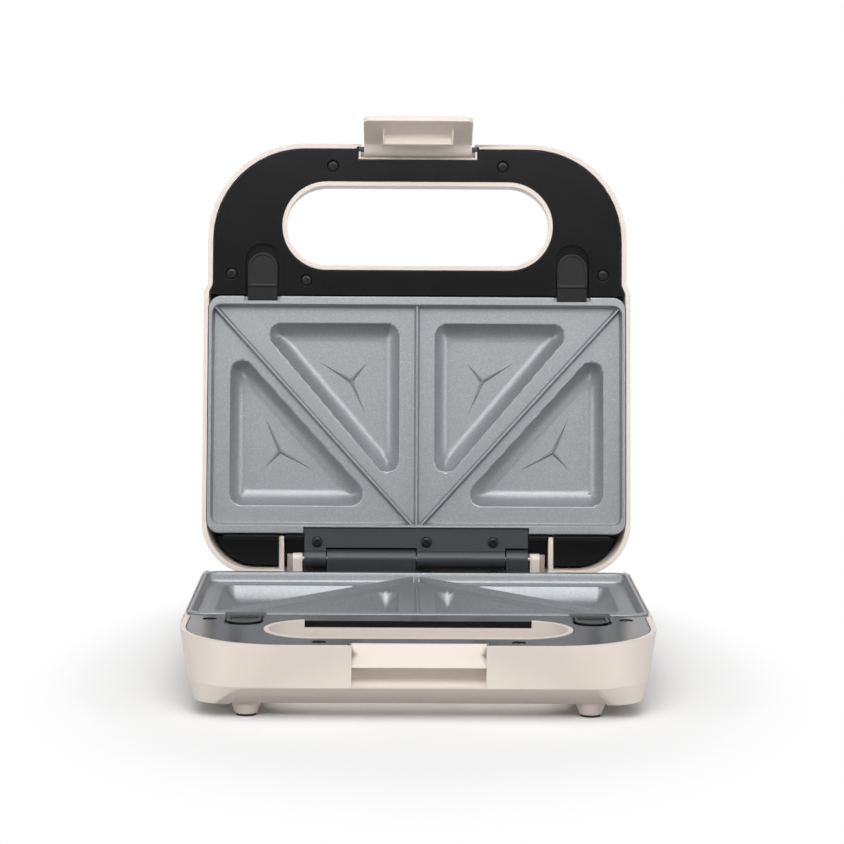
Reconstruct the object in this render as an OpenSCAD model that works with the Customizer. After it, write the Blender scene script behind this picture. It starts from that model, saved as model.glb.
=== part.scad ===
// Sandwich toaster: two hinged halves, each a shell with a handle, a black inner frame,
// a heater and a removable plate with four triangular pockets. A latch on the lid hooks
// under a catch on the base. Both halves are drawn closed, about the parting plane where
// the plates meet, then the lid is turned open about the hinge pin and all is stood on its feet.
// x runs to the right, y to the rear, z up. Everything is in millimetres.

/* [Plates] */
// Width of a plate over its rim
plate_w = 225; // [215:1:235]
// Depth of a plate over its rim
plate_d = 128; // [122:1:136]
// Corner radius of the plate's rim
plate_corner = 7; // [5:0.5:10]
// Height of the rim above the flat of the plate
rim_h = 5; // [4:0.1:6]
// Width of the rim at the front and rear
rim_front = 4.4; // [4:0.1:5]
// Width of the rim at the sides
rim_side = 1.8; // [1.4:0.1:2.2]
// Thickness of the cast plate
plate_t = 2.6; // [2:0.1:3]
// Height of the ridges above the flat
ridge_h = 4; // [3:0.1:4.5]
// Width of a ridge at its foot
ridge_w = 4; // [3:0.1:5]
// Depth of a pocket below the flat
pocket_depth = 8.5; // [6:0.1:9]
// Corner radius of a pocket at its mouth
pocket_corner = 6.5; // [5:0.5:8]
// How far a pocket's floor draws in from its mouth
pocket_draft = 9; // [6:0.5:10]
// Gap between the two rims when closed
rim_gap = 0.3; // [0.2:0.1:1]

/* [Body] */
// Width of beige edge that shows beside the plate
side_edge = 2.5; // [2.4:0.1:3]
// How much narrower the handle is than the body, each side
handle_step = 2; // [1:0.5:3]
// Reach of the handle in front of the plate
handle_reach = 83; // [81:1:90]
// Depth of the hinge bay behind the plate
hinge_bay = 22; // [22:0.5:24]
// Front corner radius
front_corner = 52; // [46:1:56]
// Rear corner radius
rear_corner = 28; // [24:1:32]
// Depth of the base below the parting plane
base_depth = 29.6; // [29:0.1:32]
// Height of the lid above the parting plane, at the plate
lid_height = 34; // [33:0.5:38]
// Height of the lid at the front of the handle
lid_nose = 20; // [18:0.5:24]
// Wall thickness of both shells
wall = 2.4; // [2:0.1:2.8]
// How far the walls draw in towards the shoulder
wall_draft = 2.4; // [1:0.1:3]
// How far the base's side walls draw in towards the shoulder
base_draft = 4.5; // [4:0.1:4.6]
// Width of the lower bevel at the rear of the base
base_bevel = 5.6; // [5:0.1:6.5]
// Height of the lower bevel of the base
bevel_h = 9; // [8.4:0.1:9.6]
// Width of the upper bevel of the lid
lid_bevel = 6; // [4:0.5:6.5]
// Gap of a shell's edge to the parting plane
edge_gap = 0.45; // [0.3:0.05:1]

/* [Handle hole] */
// Width of the handle beside the hole in the black frame
hole_side = 39.6; // [37:0.1:47]
// Radius of the hole's round ends
hole_r = 24.35; // [20:0.05:26]
// Distance from the plate to the hole
hole_setback = 14; // [13.5:0.1:16]
// Wall of the sleeve that lines the hole
sleeve_t = 2.4; // [2:0.1:3]
// Half width of the tab in the sleeve's rear wall
tab_half = 54.5; // [40:0.5:58]
// Depth of that tab
tab_h = 3.4; // [2:0.1:5]

/* [Inner frame] */
// Thickness of the black deck
deck_t = 2.2; // [2:0.1:2.6]
// Depth of the deck's face below the rim
deck_drop = 0.6; // [0.4:0.1:1]
// Gap round the black frame
frame_fit = 0.3; // [0.2:0.05:0.5]
// Depth of the base's rear deck below the parting plane
base_rear_deck = 8.5; // [8:0.1:9.5]
// Height of the lid's rear deck above the parting plane
lid_rear_deck = 16; // [16:0.1:17]

/* [Slide clips] */
// Distance of a clip from the side of the plate
clip_in = 29; // [27:0.5:30]
// Width of a clip
clip_w = 16; // [14:0.5:17]
// Gap beside a clip in its pocket
clip_side = 1.25; // [1:0.05:1.5]
// Travel of a clip
clip_travel = 4; // [3:0.1:4]
// Gap kept round a moving clip
clip_fit = 0.3; // [0.2:0.05:0.4]
// Length of a clip in front of the plate
clip_len = 23.5; // [22:0.5:25]
// How far a clip's tongue reaches over the plate
tongue = 2.2; // [1.5:0.1:2.8]

/* [Hinge] */
// Distance of the hinge pin behind the plate
pin_back = 13.6; // [13.6:0.1:14]
// Height of the hinge pin above the parting plane
pin_up = 4.3; // [4.3:0.1:5]
// Radius of the hinge pin
pin_r = 2; // [1.5:0.1:2.2]
// Running clearance of the pin in a knuckle
pin_fit = 0.05; // [0.02:0.01:0.09]
// Outer radius of a knuckle
knuckle_r = 5.4; // [5:0.1:5.4]
// Half length of the hinge strips
strip_half = 60; // [58:0.5:61]
// Thickness of the hinge strips
strip_t = 2; // [1.6:0.1:2.2]
// Depth of a strip's face below the parting plane
strip_drop = 1.75; // [1.6:0.05:2]
// How far a strip reaches over the plate's rear rim
strip_lap = 3.1; // [2:0.1:3.3]
// Radius of the arched cheeks that carry the pin
cheek_r = 3.3; // [3.2:0.1:3.8]
// Thickness of a cheek
cheek_t = 5.2; // [4.6:0.1:6]
// Opening angle of the lid in the stored pose
open_angle = 100; // [95:1:102]

/* [Latch] */
// Width of the latch
latch_w = 58.4; // [54:0.1:60]
// Gap between the latch and each side of its notch
latch_side = 1.7; // [1.4:0.1:2]
// Radius of the latch's barrel
barrel_r = 3.8; // [3.5:0.1:3.9]
// Radius of the latch's pin
latch_pin_r = 1.5; // [1.2:0.1:1.8]
// Distance of the latch's pin inside the shell's front
latch_pin_in = 2.8; // [2.6:0.1:3]
// Height of the latch's pin above the parting plane
latch_pin_up = 1.35; // [1.3:0.05:1.6]
// Length of the latch from its pin to its tip
latch_len = 29; // [26:0.1:29.5]
// Thickness of the latch plate
latch_t = 3; // [2.6:0.1:3.2]
// Width of the hook
hook_w = 38; // [30:0.5:44]
// Reach of the hook
hook_reach = 6.5; // [5:0.1:6.6]
// Thickness of the hook
hook_t = 2.6; // [2:0.1:3.2]
// Height of the catch ledge
ledge_h = 10.5; // [10:0.1:11.5]
// Angle between the latch as it stands in the photograph and closed
latch_open = 19.5; // [15:0.5:60]

/* [Feet] */
// Distance of a foot from the side of the body
foot_in = 35; // [28:1:44]
// Height of a foot with its pad
foot_h = 7.2; // [6:0.1:10]
// Radius of a foot at its top
foot_top_r = 7.8; // [7:0.1:8.5]
// Radius of a foot at its pad
foot_low_r = 5.2; // [4.8:0.1:6]
// Thickness of a rubber pad
pad_t = 1.2; // [1:0.1:2]

/* [Inside] */
// Radius of a heating element
heater_r = 3.2; // [3:0.1:3.4]
// Thickness of a heat shield
shield_t = 0.6; // [0.5:0.1:0.8]
// Radius of the cord inlet's bore
inlet_r = 3.6; // [3:0.1:4]
// Distance of the cord inlet from the middle
inlet_x = 40; // [30:1:50]
// Radius of an indicator lens
lens_r = 3.1; // [2.6:0.1:3.2]

/* [Hidden] */

BEIGE = [0.84, 0.78, 0.71];
BLACK = [0.05, 0.05, 0.055];
PLATE = [0.38, 0.39, 0.41];
STEEL = [0.62, 0.63, 0.65];
DARK_STEEL = [0.2, 0.2, 0.21];
BRIGHT = [0.82, 0.83, 0.84];

// Facets of true rounds, and of the corners inside a hull
ROUND = 96;
CORNER = 48;
// Thickness of the slices that a hull joins
SLICE = 0.02;
// Small reach that lets cutters run through a face
CUT = 1;

// Plan of the two halves
body_w = plate_w + 2 * side_edge;
handle_w = body_w - 2 * handle_step;
front_y = -plate_d - handle_reach;
step_y = -plate_d - 2;
step_run = 4.5;
rear_y = hinge_bay;
shoulder = base_depth - bevel_h;
inner_depth = base_depth - wall;
side_bevel = 3.8;
front_draft = 2.2;
front_bevel = 7.8;
shoulder_corner = front_corner - 18;
bottom_corner = front_corner - 36;
edge_in = 1.4;
edge_round = 4.4;

// Levels below the parting plane, mirrored for the lid
rim_z = -rim_gap / 2;
flat_z = rim_z - rim_h;
plate_low = flat_z - plate_t;
deck_z = rim_z - deck_drop;
deck_low = deck_z - deck_t;
rear_deck_t = 2;

// Plate bay inside the frame
bay_gap = 0.8;
plate_fit = 0.3;
bay_wall = 2;
bay_front = -plate_d - bay_gap;
bay_rear = 1.2;
rail_out = plate_w / 2 - 4.9;
rail_w = 2.5;
rail_front = 5.2;
rail_rear = 4.4;
rail_end = bay_rear - 3;
rear_half = rail_out - 4;
frame_side = wall + frame_fit + 0.4;
frame_low = -lid_rear_deck - rear_deck_t - 0.2;

// Handle hole
hole_half = handle_w / 2 - hole_side;
hole_y = -plate_d - hole_setback - hole_r;
through_half = hole_half - frame_fit - sleeve_t;
through_r = hole_r - frame_fit - sleeve_t;
flare = 3.2;
flare_z = 4;

// Clips
clip_x = plate_w / 2 - clip_in;
pocket_floor = deck_z - 2.8;
pocket_floor_t = 1.6;
clip_t = 1.9;
clip_low = pocket_floor + clip_fit;
clip_pad_top = rim_z - 0.3;
clip_end = -plate_d - clip_len;
tongue_y = -plate_d + tongue;
pad_end = -plate_d - 5;
clip_rim = 1.3;
dish_h = 0.8;
stem_w = 7;
stem_l = 5;
stem_y = -plate_d - 13;
foot_w = 12;
foot_l = 9;
foot_t = 3;
spring_r = 2.2;
spring_wire = 0.6;
stop_y = clip_end - clip_travel - clip_side - 4;

// Hinge
web_gap = 0.6;
strip_z = -strip_drop;
strip_low = strip_z - strip_t;
strip_rear = pin_back - knuckle_r - web_gap;
web_t = 2.2;
knuckle_gap = 0.5;
knuckle_split = 48;
cheek_in = strip_half + 1;
cheek_out = cheek_in + cheek_t;
strip_screws = [-53.2, 5.5, 41.3];
strip_screw_y = 4.4;
leaf_hole_r = 1.7;
leaf_post_r = 3.4;
leaf_head_r = 2.9;
leaf_head_h = 1.3;
leaf_shank_l = 8;
hood_gap = 1.2;
hood_half = strip_half + 9.5;
window_half = hood_half + hood_gap;
window_top = lid_rear_deck;
rear_wall_top = -6.4;
hood_top = 6;
rib_in = window_half + 0.3;
rib_t = 2.5;

// Latch
notch_half = latch_w / 2 + latch_side;
latch_pin_y = front_y + latch_pin_in;
notch_back = latch_pin_y + barrel_r + 0.5;
notch_top = 7;
notch_wall = 1.2;
latch_face = latch_pin_y - barrel_r - 0.4;
latch_inner = latch_face + latch_t;
ledge_top = -edge_gap - 0.15;
ledge_low = ledge_top - ledge_h;
ledge_top_y = notch_back;
ledge_low_y = latch_inner + 0.8;
hook_top = ledge_low - 0.4;
gusset_l = 6.2;
catch_low = -shoulder;
catch_back = notch_back + 3.2;
facet_w = 4.2;
facet_d = 3;

// Screws of the black frames: [x, distance in front of the plate]
screw_in = 12.2;
side_screw_x = plate_w / 2 - screw_in;
nose_screw_x = notch_half + 15.1;
nose_screw = handle_reach - 12;
BASE_SCREWS = [
    [-side_screw_x, screw_in], [side_screw_x, screw_in], [-nose_screw_x, nose_screw], [nose_screw_x, nose_screw]
];
extra_screw_x = clip_x - 23.5;
extra_screw = 8.7;
LID_SCREWS = concat(BASE_SCREWS, [[-extra_screw_x, extra_screw]]);
head_r = 3;
head_h = 1.2;
head_sink = 0.35;
shank_r = 1.4;
shank_l = 11;
pilot_r = 1.55;
post_r = 3.8;

// Indicator lamps
lens_x = 9;
lens_y = -plate_d - 8.6;
lens_low = 22;
lens_top = lid_height - 0.6;
tube_low = 12;
tube_r = lens_r + 1.5;

// Cord inlet
inlet_z = -18;
grommet_r = inlet_r + 1.8;
inlet_boss_r = inlet_r + 3.8;

// Feet
foot_x = body_w / 2 - foot_in;
foot_front_y = front_y + 21;
foot_rear_y = -4;
scoop_half = foot_x + 7;
scoop_slope = 7;
scoop_back = 13;
rest_z = base_depth + foot_h;

// Heaters
heater_z = plate_low - pocket_depth - heater_r - 0.5;
heater_x = 82;
heater_front = -plate_d + 26;
heater_rear = -24;
heater_bend = 14;
heater_end_x = 26;
shield_x = rail_out - rail_w - 3;
shield_feet = [-100, -30];
shield_foot_x = 55;
heater_end_y = -8;

// The stored box's middle, worked out from the front of the base and the rear of the open lid
lid_tip = [front_y - pin_back + lid_bevel + wall_draft, lid_nose - pin_up];
lid_top = [step_y - step_run - pin_back, lid_height - pin_up];
lens_tip = [lens_y - lens_r - pin_back, lens_top - pin_up];
function opened_y(p) = pin_back + p[0] * cos(open_angle) + p[1] * sin(open_angle);
rear_reach = max(opened_y(lid_tip), opened_y(lid_top), opened_y(lens_tip));
origin_y = -(front_y + rear_reach) / 2;

// Places a half in the stored frame
module stand() {
    translate([0, origin_y, rest_z]) children();
}

module opened() {
    stand() translate([0, pin_back, pin_up]) rotate([-open_angle, 0, 0])
        translate([0, -pin_back, -pin_up]) children();
}

// Draws a lower piece in the lid, upside down
module in_lid() {
    opened() mirror([0, 0, 1]) children();
}

// Bars and rods along one axis
module rod_x(x0, x1, r, y, z) {
    translate([x0, y, z]) rotate([0, 90, 0]) cylinder(h = x1 - x0, r = r, $fn = ROUND);
}

module rod_y(y0, y1, r, x, z) {
    translate([x, y1, z]) rotate([90, 0, 0]) cylinder(h = y1 - y0, r = r, $fn = ROUND);
}

module rod_z(z0, z1, r, x, y) {
    translate([x, y, z0]) cylinder(h = z1 - z0, r = r, $fn = ROUND);
}

module box(x0, x1, y0, y1, z0, z1) {
    translate([x0, y0, z0]) cube([x1 - x0, y1 - y0, z1 - z0]);
}

// Plan outlines
module body_plan(inset, fn, side = 0) {
    hw = body_w / 2 - inset - side;
    rr = rear_corner - inset;
    back = rear_y - inset;
    translate([-hw, step_y]) square([2 * hw, back - rr - step_y]);
    polygon([
        [-hw, step_y + CUT], [-hw, step_y], [handle_step - hw, step_y - step_run],
        [hw - handle_step, step_y - step_run], [hw, step_y], [hw, step_y + CUT]
    ]);
    translate([-(hw - rr), back - rr - CUT]) square([2 * (hw - rr), rr + CUT]);
    for (s = [-1, 1]) translate([s * (hw - rr), back - rr]) circle(r = rr, $fn = fn);
}

module handle_plan(inset, fn, side = 0, front_in = 0, corner = front_corner) {
    hw = handle_w / 2 - inset - side;
    rf = corner - inset;
    front = front_y + inset + front_in;
    translate([-hw, front + rf]) square([2 * hw, step_y - front - rf + SLICE]);
    translate([-(hw - rf), front]) square([2 * (hw - rf), rf + CUT]);
    for (s = [-1, 1]) translate([s * (hw - rf), front + rf]) circle(r = rf, $fn = fn);
}

module plan(inset) {
    body_plan(inset, ROUND);
    handle_plan(inset, ROUND);
}

module stadium(half, r) {
    square([2 * (half - r), 2 * r], center = true);
    for (s = [-1, 1]) translate([s * (half - r), 0]) circle(r = r, $fn = ROUND);
}

module hole_plug(half, r, z0, z1) {
    translate([0, hole_y, z0]) linear_extrude(z1 - z0) stadium(half, r);
}

// The lid's hole widens towards its outer face
module lid_hole(grow, top) {
    hole_plug(through_half + grow, through_r + grow, -CUT, flare_z + SLICE);
    hull() {
        slab(flare_z) translate([0, hole_y]) stadium(through_half + grow, through_r + grow);
        slab(top) translate([0, hole_y]) stadium(through_half + grow + flare, through_r + grow + flare);
    }
}

module slab(z) {
    translate([0, 0, z]) linear_extrude(SLICE) children();
}

// Solid forms of the two halves, drawn in by an inset. The base's upper edge is rounded beside
// the plate by edge, and its corners are squarer below than above.
module base_form(inset, top, low, edge = 0) {
    hull() {
        slab(top - SLICE) body_plan(edge + inset, CORNER);
        if (edge > 0) slab(-edge_round) body_plan(inset, CORNER);
        slab(-shoulder) body_plan(wall_draft + inset, CORNER, base_draft - wall_draft);
        slab(low) body_plan(wall_draft + base_bevel + inset, CORNER,
            base_draft + side_bevel - wall_draft - base_bevel);
    }
    hull() {
        slab(top - SLICE) handle_plan(inset, CORNER);
        slab(-shoulder) handle_plan(inset, CORNER, base_draft, front_draft, shoulder_corner);
        slab(low) handle_plan(inset, CORNER, base_draft + side_bevel, front_draft + front_bevel, bottom_corner);
    }
}

module lid_form(inset, low, drop) {
    hull() {
        slab(low) body_plan(inset, CORNER);
        slab(lid_height - drop - lid_bevel) body_plan(wall_draft + inset, CORNER);
        slab(lid_height - drop - SLICE) body_plan(wall_draft + lid_bevel + inset, CORNER);
    }
    hull() {
        slab(low) handle_plan(inset, CORNER);
        slab(lid_nose - drop - lid_bevel / 2) handle_plan(wall_draft / 2 + inset, CORNER);
        slab(lid_nose - drop - SLICE) handle_plan(wall_draft + lid_bevel / 2 + inset, CORNER);
        for (s = [-1, 1]) {
            top_x = s * (body_w / 2 - wall_draft - lid_bevel - inset) - (s > 0 ? CUT : 0);
            side_x = s * (body_w / 2 - handle_step - wall_draft - inset) - (s > 0 ? CUT : 0);
            translate([top_x, step_y - step_run, lid_height - drop - SLICE]) cube([CUT, CUT, SLICE]);
            translate([side_x, step_y - step_run, lid_height - drop - lid_bevel]) cube([CUT, CUT, SLICE]);
        }
    }
}

// Screw posts, drawn from a shell's floor up to a level
module posts(places, z0, z1) {
    for (p = places) rod_z(z0, z1, post_r, p[0], -plate_d - p[1]);
}

module pilots(places, z1) {
    for (p = places) rod_z(z1 - shank_l - 1, z1 + CUT, pilot_r, p[0], -plate_d - p[1]);
}

module leaf_posts(z0) {
    for (x = strip_screws) rod_z(z0, strip_low, leaf_post_r, x, strip_screw_y);
}

module leaf_pilots() {
    for (x = strip_screws) rod_z(strip_low - 9, strip_low + CUT, pilot_r, x, strip_screw_y);
}

// Catch recess in the base's front wall: the ledge is left standing in it
module catch_cutter() {
    rotate([90, 0, 90]) translate([0, 0, -notch_half]) linear_extrude(2 * notch_half) polygon([
        [front_y - CUT, ledge_top], [ledge_top_y, ledge_top], [ledge_low_y, ledge_low],
        [catch_back, ledge_low], [catch_back, catch_low + 3], [ledge_low_y - 1, catch_low],
        [front_y - CUT, catch_low]
    ]);
    box(-notch_half, notch_half, front_y - CUT, notch_back, ledge_top, CUT);
}

// Room for the plate's skirt between the side walls
module plate_room() {
    translate([0, 0, plate_low - plate_fit]) linear_extrude(CUT - plate_low + plate_fit)
        plate_plan(-plate_fit);
}

// Walls that close the recess from the inside
module catch_backing() {
    box(-notch_half - notch_wall, notch_half + notch_wall, front_y + 1, notch_back + notch_wall,
        catch_low - 1, ledge_top);
    box(-notch_half - notch_wall, notch_half + notch_wall, front_y + 1, catch_back + notch_wall,
        catch_low - 1, deck_low - frame_fit);
}

// Facets at both ends of the ledge's face
module ledge_ends() {
    mid = [(ledge_top_y + ledge_low_y) / 2, (ledge_top + ledge_low) / 2];
    for (s = [0, 1]) mirror([s, 0, 0]) polyhedron(
        points = [
            [notch_half, ledge_top_y - 0.05, ledge_top], [notch_half, ledge_low_y - 0.05, ledge_low],
            [notch_half - facet_w, mid[0] - 0.05, mid[1]], [notch_half, mid[0] + facet_d, mid[1]]
        ],
        faces = [[0, 1, 2], [0, 2, 3], [1, 3, 2], [0, 3, 1]]
    );
}

// Finger scoop under the catch, its ends sloped
module belly_side(y_low, y_top, z_top) {
    rotate([90, 0, 90]) translate([0, 0, -scoop_half]) linear_extrude(2 * scoop_half) polygon([
        [front_y - CUT, z_top], [front_y + y_top, z_top], [front_y + y_low, -base_depth],
        [front_y + y_low, -base_depth - CUT], [front_y - CUT, -base_depth - CUT]
    ]);
}

module belly_cutter() {
    intersection() {
        belly_side(scoop_back, front_draft, catch_low);
        translate([0, front_y + scoop_back + CUT, 0]) rotate([90, 0, 0]) linear_extrude(scoop_back + 3 * CUT)
            polygon([
                [-scoop_half, -base_depth - 2 * CUT], [scoop_half, -base_depth - 2 * CUT],
                [scoop_half, -base_depth], [scoop_half - scoop_slope, catch_low + CUT],
                [scoop_slope - scoop_half, catch_low + CUT], [-scoop_half, -base_depth]
            ]);
    }
}

module belly_backing() {
    rotate([90, 0, 90]) translate([0, 0, -scoop_half]) linear_extrude(2 * scoop_half) polygon([
        [front_y + front_draft, catch_low], [front_y + scoop_back, -base_depth],
        [front_y + scoop_back + 4, -base_depth], [front_y + scoop_back + 4, -base_depth + wall],
        [front_y + front_draft + 3, catch_low + 1.5], [front_y + front_draft, catch_low + 1.5]
    ]);
}

module cheek_side() {
    for (s = [-1, 1]) {
        x0 = s > 0 ? cheek_in : -cheek_out;
        rod_x(x0, x0 + cheek_t, cheek_r, pin_back, pin_up);
        box(x0, x0 + cheek_t, pin_back - cheek_r, pin_back + cheek_r, -inner_depth, pin_up);
        box(x0, x0 + cheek_t, pin_back, rear_y - wall_draft, -inner_depth, hood_top);
    }
}

// Flat boss round the cord inlet
module inlet_boss() {
    rod_y(rear_y - wall_draft - wall - 0.5, rear_y, inlet_boss_r, inlet_x, inlet_z);
}

module rear_hood() {
    box(-hood_half, hood_half, rear_y - wall, rear_y, rear_wall_top - CUT, hood_top);
}

module base_shell() {
    color(BEIGE) stand() difference() {
        union() {
            difference() {
                base_form(0, -edge_gap, -base_depth, edge_in);
                difference() {
                    base_form(wall, CUT, -inner_depth);
                    hole_plug(through_half + sleeve_t, through_r + sleeve_t, -base_depth, CUT);
                    posts(BASE_SCREWS, -base_depth, deck_low);
                    catch_backing();
                    belly_backing();
                    leaf_posts(-base_depth);
                    inlet_boss();
                }
                box(-body_w, body_w, bay_rear + bay_wall, rear_y + CUT, rear_wall_top, CUT);
                box(-body_w, body_w, front_y - CUT, rear_y + CUT, -edge_gap, CUT);
            }
            intersection() {
                union() {
                    rear_hood();
                    cheek_side();
                }
                base_form(0, pin_up + cheek_r + CUT, -base_depth);
            }
            inlet_boss();
            for (s = [-1, 1], y = [foot_front_y, foot_rear_y])
                translate([s * foot_x, y, -rest_z + pad_t])
                    cylinder(h = foot_h - pad_t + 0.5, r1 = foot_low_r, r2 = foot_top_r, $fn = ROUND);
        }
        hole_plug(through_half, through_r, -base_depth - CUT, CUT);
        box(-tab_half, tab_half, hole_y + through_r - 4, hole_y + through_r + sleeve_t + CUT,
            deck_z - tab_h, CUT);
        plate_room();
        pilots(BASE_SCREWS, deck_low);
        leaf_pilots();
        catch_cutter();
        ledge_ends();
        belly_cutter();
        rod_x(-cheek_out - CUT, cheek_out + CUT, pin_r + 0.02, pin_back, pin_up);
        rod_y(rear_y - wall - 8, rear_y + CUT, grommet_r + 0.1, inlet_x, inlet_z);
        for (s = [-1, 1], y = [foot_front_y, foot_rear_y])
            rod_z(-rest_z - CUT, -rest_z + pad_t + 2.6, 2.6, s * foot_x, y);
    }
}

module lens_tubes(r, z0, z1) {
    for (s = [-1, 1]) rod_z(z0, z1, r, s * lens_x, lens_y);
}

// Pocket of the latch in the lid's front wall
module notch_backing() {
    box(-notch_half - notch_wall, notch_half + notch_wall, front_y + 1, notch_back + notch_wall,
        edge_gap, notch_top + notch_wall);
}

module lid_shell() {
    color(BEIGE) opened() difference() {
        union() {
            difference() {
                lid_form(0, edge_gap, 0);
                difference() {
                    lid_form(wall, -CUT, wall);
                    lid_hole(sleeve_t, lid_height);
                    notch_backing();
                    mirror([0, 0, 1]) posts(LID_SCREWS, -lid_height, deck_low);
                    mirror([0, 0, 1]) leaf_posts(-lid_height);
                    lens_tubes(tube_r, tube_low, lid_height);
                    for (s = [-1, 1], y = shield_feet)
                        rod_z(inner_depth, lid_height, post_r, s * shield_foot_x, y);
                    for (s = [-1, 1])
                        box(s > 0 ? rib_in : -rib_in - rib_t, s > 0 ? rib_in + rib_t : -rib_in,
                            bay_rear + frame_fit, rear_y, edge_gap + 0.6, lid_height);
                }
            }
        }
        box(-window_half, window_half, rear_y - wall - 3, rear_y + CUT, -CUT, window_top);
        lid_hole(0, lid_height + CUT);
        box(-notch_half, notch_half, front_y - CUT, notch_back, -CUT, notch_top);
        rod_x(-notch_half - notch_wall - CUT, notch_half + notch_wall + CUT, latch_pin_r + 0.02,
            latch_pin_y, latch_pin_up);
        mirror([0, 0, 1]) plate_room();
        mirror([0, 0, 1]) pilots(LID_SCREWS, deck_low);
        mirror([0, 0, 1]) leaf_pilots();
        lens_tubes(lens_r + 0.08, 0, lid_height + CUT);
    }
}

// Black inner frame, drawn for the base
module frame_clip_pocket(s) {
    x = s * clip_x;
    hw = clip_w / 2 + clip_side;
    end = clip_end - clip_travel - clip_side;
    translate([x - hw, end + hw]) square([2 * hw, bay_front + bay_wall - end - hw]);
    translate([x, end + hw]) circle(r = hw, $fn = ROUND);
}

module frame(places, rear_deck, tab) {
    difference() {
        union() {
            // deck of the handle
            translate([0, 0, deck_low]) linear_extrude(deck_t) difference() {
                intersection() {
                    plan(frame_side);
                    translate([-body_w, front_y]) square([2 * body_w, bay_front - front_y]);
                }
                translate([0, hole_y]) stadium(hole_half, hole_r);
            }
            // tab in the rear wall of the base's hole
            if (tab) box(-tab_half + frame_fit, tab_half - frame_fit, hole_y + through_r + 0.4,
                hole_y + hole_r + CUT, deck_z - tab_h + frame_fit, deck_z);
            // floors of the clip pockets
            for (s = [-1, 1]) translate([0, 0, pocket_floor - pocket_floor_t])
                linear_extrude(deck_low - pocket_floor + pocket_floor_t + 0.1) frame_clip_pocket_wall(s);
            // bulkhead in front of the plate and the rails under its skirt
            box(-rail_out, rail_out, bay_front - bay_wall, bay_front, frame_low, deck_z);
            difference() {
                union() {
                    box(-rail_out, rail_out, bay_front - CUT, rail_end, frame_low, plate_low);
                    box(-rear_half, rear_half, rail_end - CUT, bay_rear + bay_wall, frame_low, plate_low);
                }
                box(-rail_out + rail_w, rail_out - rail_w, bay_front + rail_front, bay_rear - rail_rear,
                    -inner_depth, plate_low + CUT);
            }
            // bulkhead behind the plate
            box(-rear_half, rear_half, bay_rear, bay_rear + bay_wall, frame_low, deck_z);
            // rear deck
            translate([0, 0, -rear_deck - rear_deck_t]) linear_extrude(rear_deck_t) intersection() {
                plan(frame_side + wall_draft);
                translate([-body_w, bay_rear]) square([2 * body_w, rear_y]);
            }
            // stops of the clip springs
            for (s = [-1, 1])
                box(s * clip_x - 4, s * clip_x + 4, stop_y - 1.6, stop_y, clip_foot_low(), deck_low + 0.1);
        }
        for (s = [-1, 1]) {
            translate([0, 0, pocket_floor]) linear_extrude(-pocket_floor) frame_clip_pocket(s);
            box(s * clip_x - stem_w / 2 - 0.7, s * clip_x + stem_w / 2 + 0.7,
                stem_y - stem_l / 2 - clip_travel - 0.7, stem_y + stem_l / 2 + 0.7,
                pocket_floor - pocket_floor_t - CUT, pocket_floor + CUT);
        }
        // seat of the hinge strip
        box(-strip_half - 0.5, strip_half + 0.5, bay_rear - CUT, bay_rear + bay_wall + CUT, strip_low, CUT);
        // openings of the rear deck for the cheeks and the posts
        for (s = [-1, 1])
            box(s > 0 ? cheek_in - 0.4 : -cheek_out - 0.4, s > 0 ? cheek_out + 0.4 : -cheek_in + 0.4,
                pin_back - cheek_r - 0.4, rear_y, -rear_deck - rear_deck_t - CUT, -rear_deck + CUT);
        for (x = strip_screws) rod_z(frame_low - CUT, strip_low + CUT, leaf_post_r + 0.3, x, strip_screw_y);
        // latch notch
        box(-notch_half - notch_wall - frame_fit, notch_half + notch_wall + frame_fit, front_y,
            notch_back + notch_wall + frame_fit, deck_low - CUT, CUT);
        // screw seats
        for (p = places) {
            rod_z(deck_z - head_sink - head_h, CUT, head_r + 0.3, p[0], -plate_d - p[1]);
            rod_z(deck_low - CUT, CUT, shank_r + 0.2, p[0], -plate_d - p[1]);
        }
    }
}

function clip_foot_low() = pocket_floor - pocket_floor_t - clip_fit - foot_t;

module frame_clip_pocket_wall(s) {
    x = s * clip_x;
    hw = clip_w / 2 + clip_side + 1.4;
    end = clip_end - clip_travel - clip_side - 1.4;
    translate([x - hw, end + hw]) square([2 * hw, bay_front - end - hw]);
    translate([x, end + hw]) circle(r = hw, $fn = ROUND);
}

module lower_frame() {
    color(BLACK) stand() frame(BASE_SCREWS, base_rear_deck, true);
}

module upper_frame() {
    color(BLACK) opened() mirror([0, 0, 1]) difference() {
        frame(LID_SCREWS, lid_rear_deck, false);
        // slots for the shell's ribs
        for (s = [-1, 1])
            box(s > 0 ? rib_in - 0.3 : -rib_in - rib_t - 0.3, s > 0 ? rib_in + rib_t + 0.3 : -rib_in + 0.3,
                bay_rear - CUT, rear_y, -lid_rear_deck - rear_deck_t - CUT, CUT);
    }
}

// Non-stick plate, drawn for the base
module plate_plan(inset) {
    w = plate_w / 2 - inset;
    r = plate_corner - inset;
    translate([-w, -plate_d + inset + r]) square([2 * w, plate_d - 2 * inset - 2 * r]);
    translate([-w + r, -plate_d + inset]) square([2 * (w - r), plate_d - 2 * inset]);
    for (s = [-1, 1], y = [-plate_d + inset + r, -inset - r])
        translate([s * (w - r), y]) circle(r = r, $fn = ROUND);
}

rim_draft = 1.6;
tray_side = plate_w / 2 - rim_side;
tray_front = -plate_d + rim_front;
tray_rear = -rim_front;
front_margin = 9.7;
rear_margin = 10.7;
side_margin = 9.9;
ridge_margin = 9.5;
front_tip = [23.05, 17.7];
rear_tip = [20.55, 19.4];

pocket_t = plate_t - 0.4;
ridge_top = 1.2;
mark_w = 1.4;
mark_h = 0.6;
mark_short = 12;
mark_long = 20;

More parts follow.
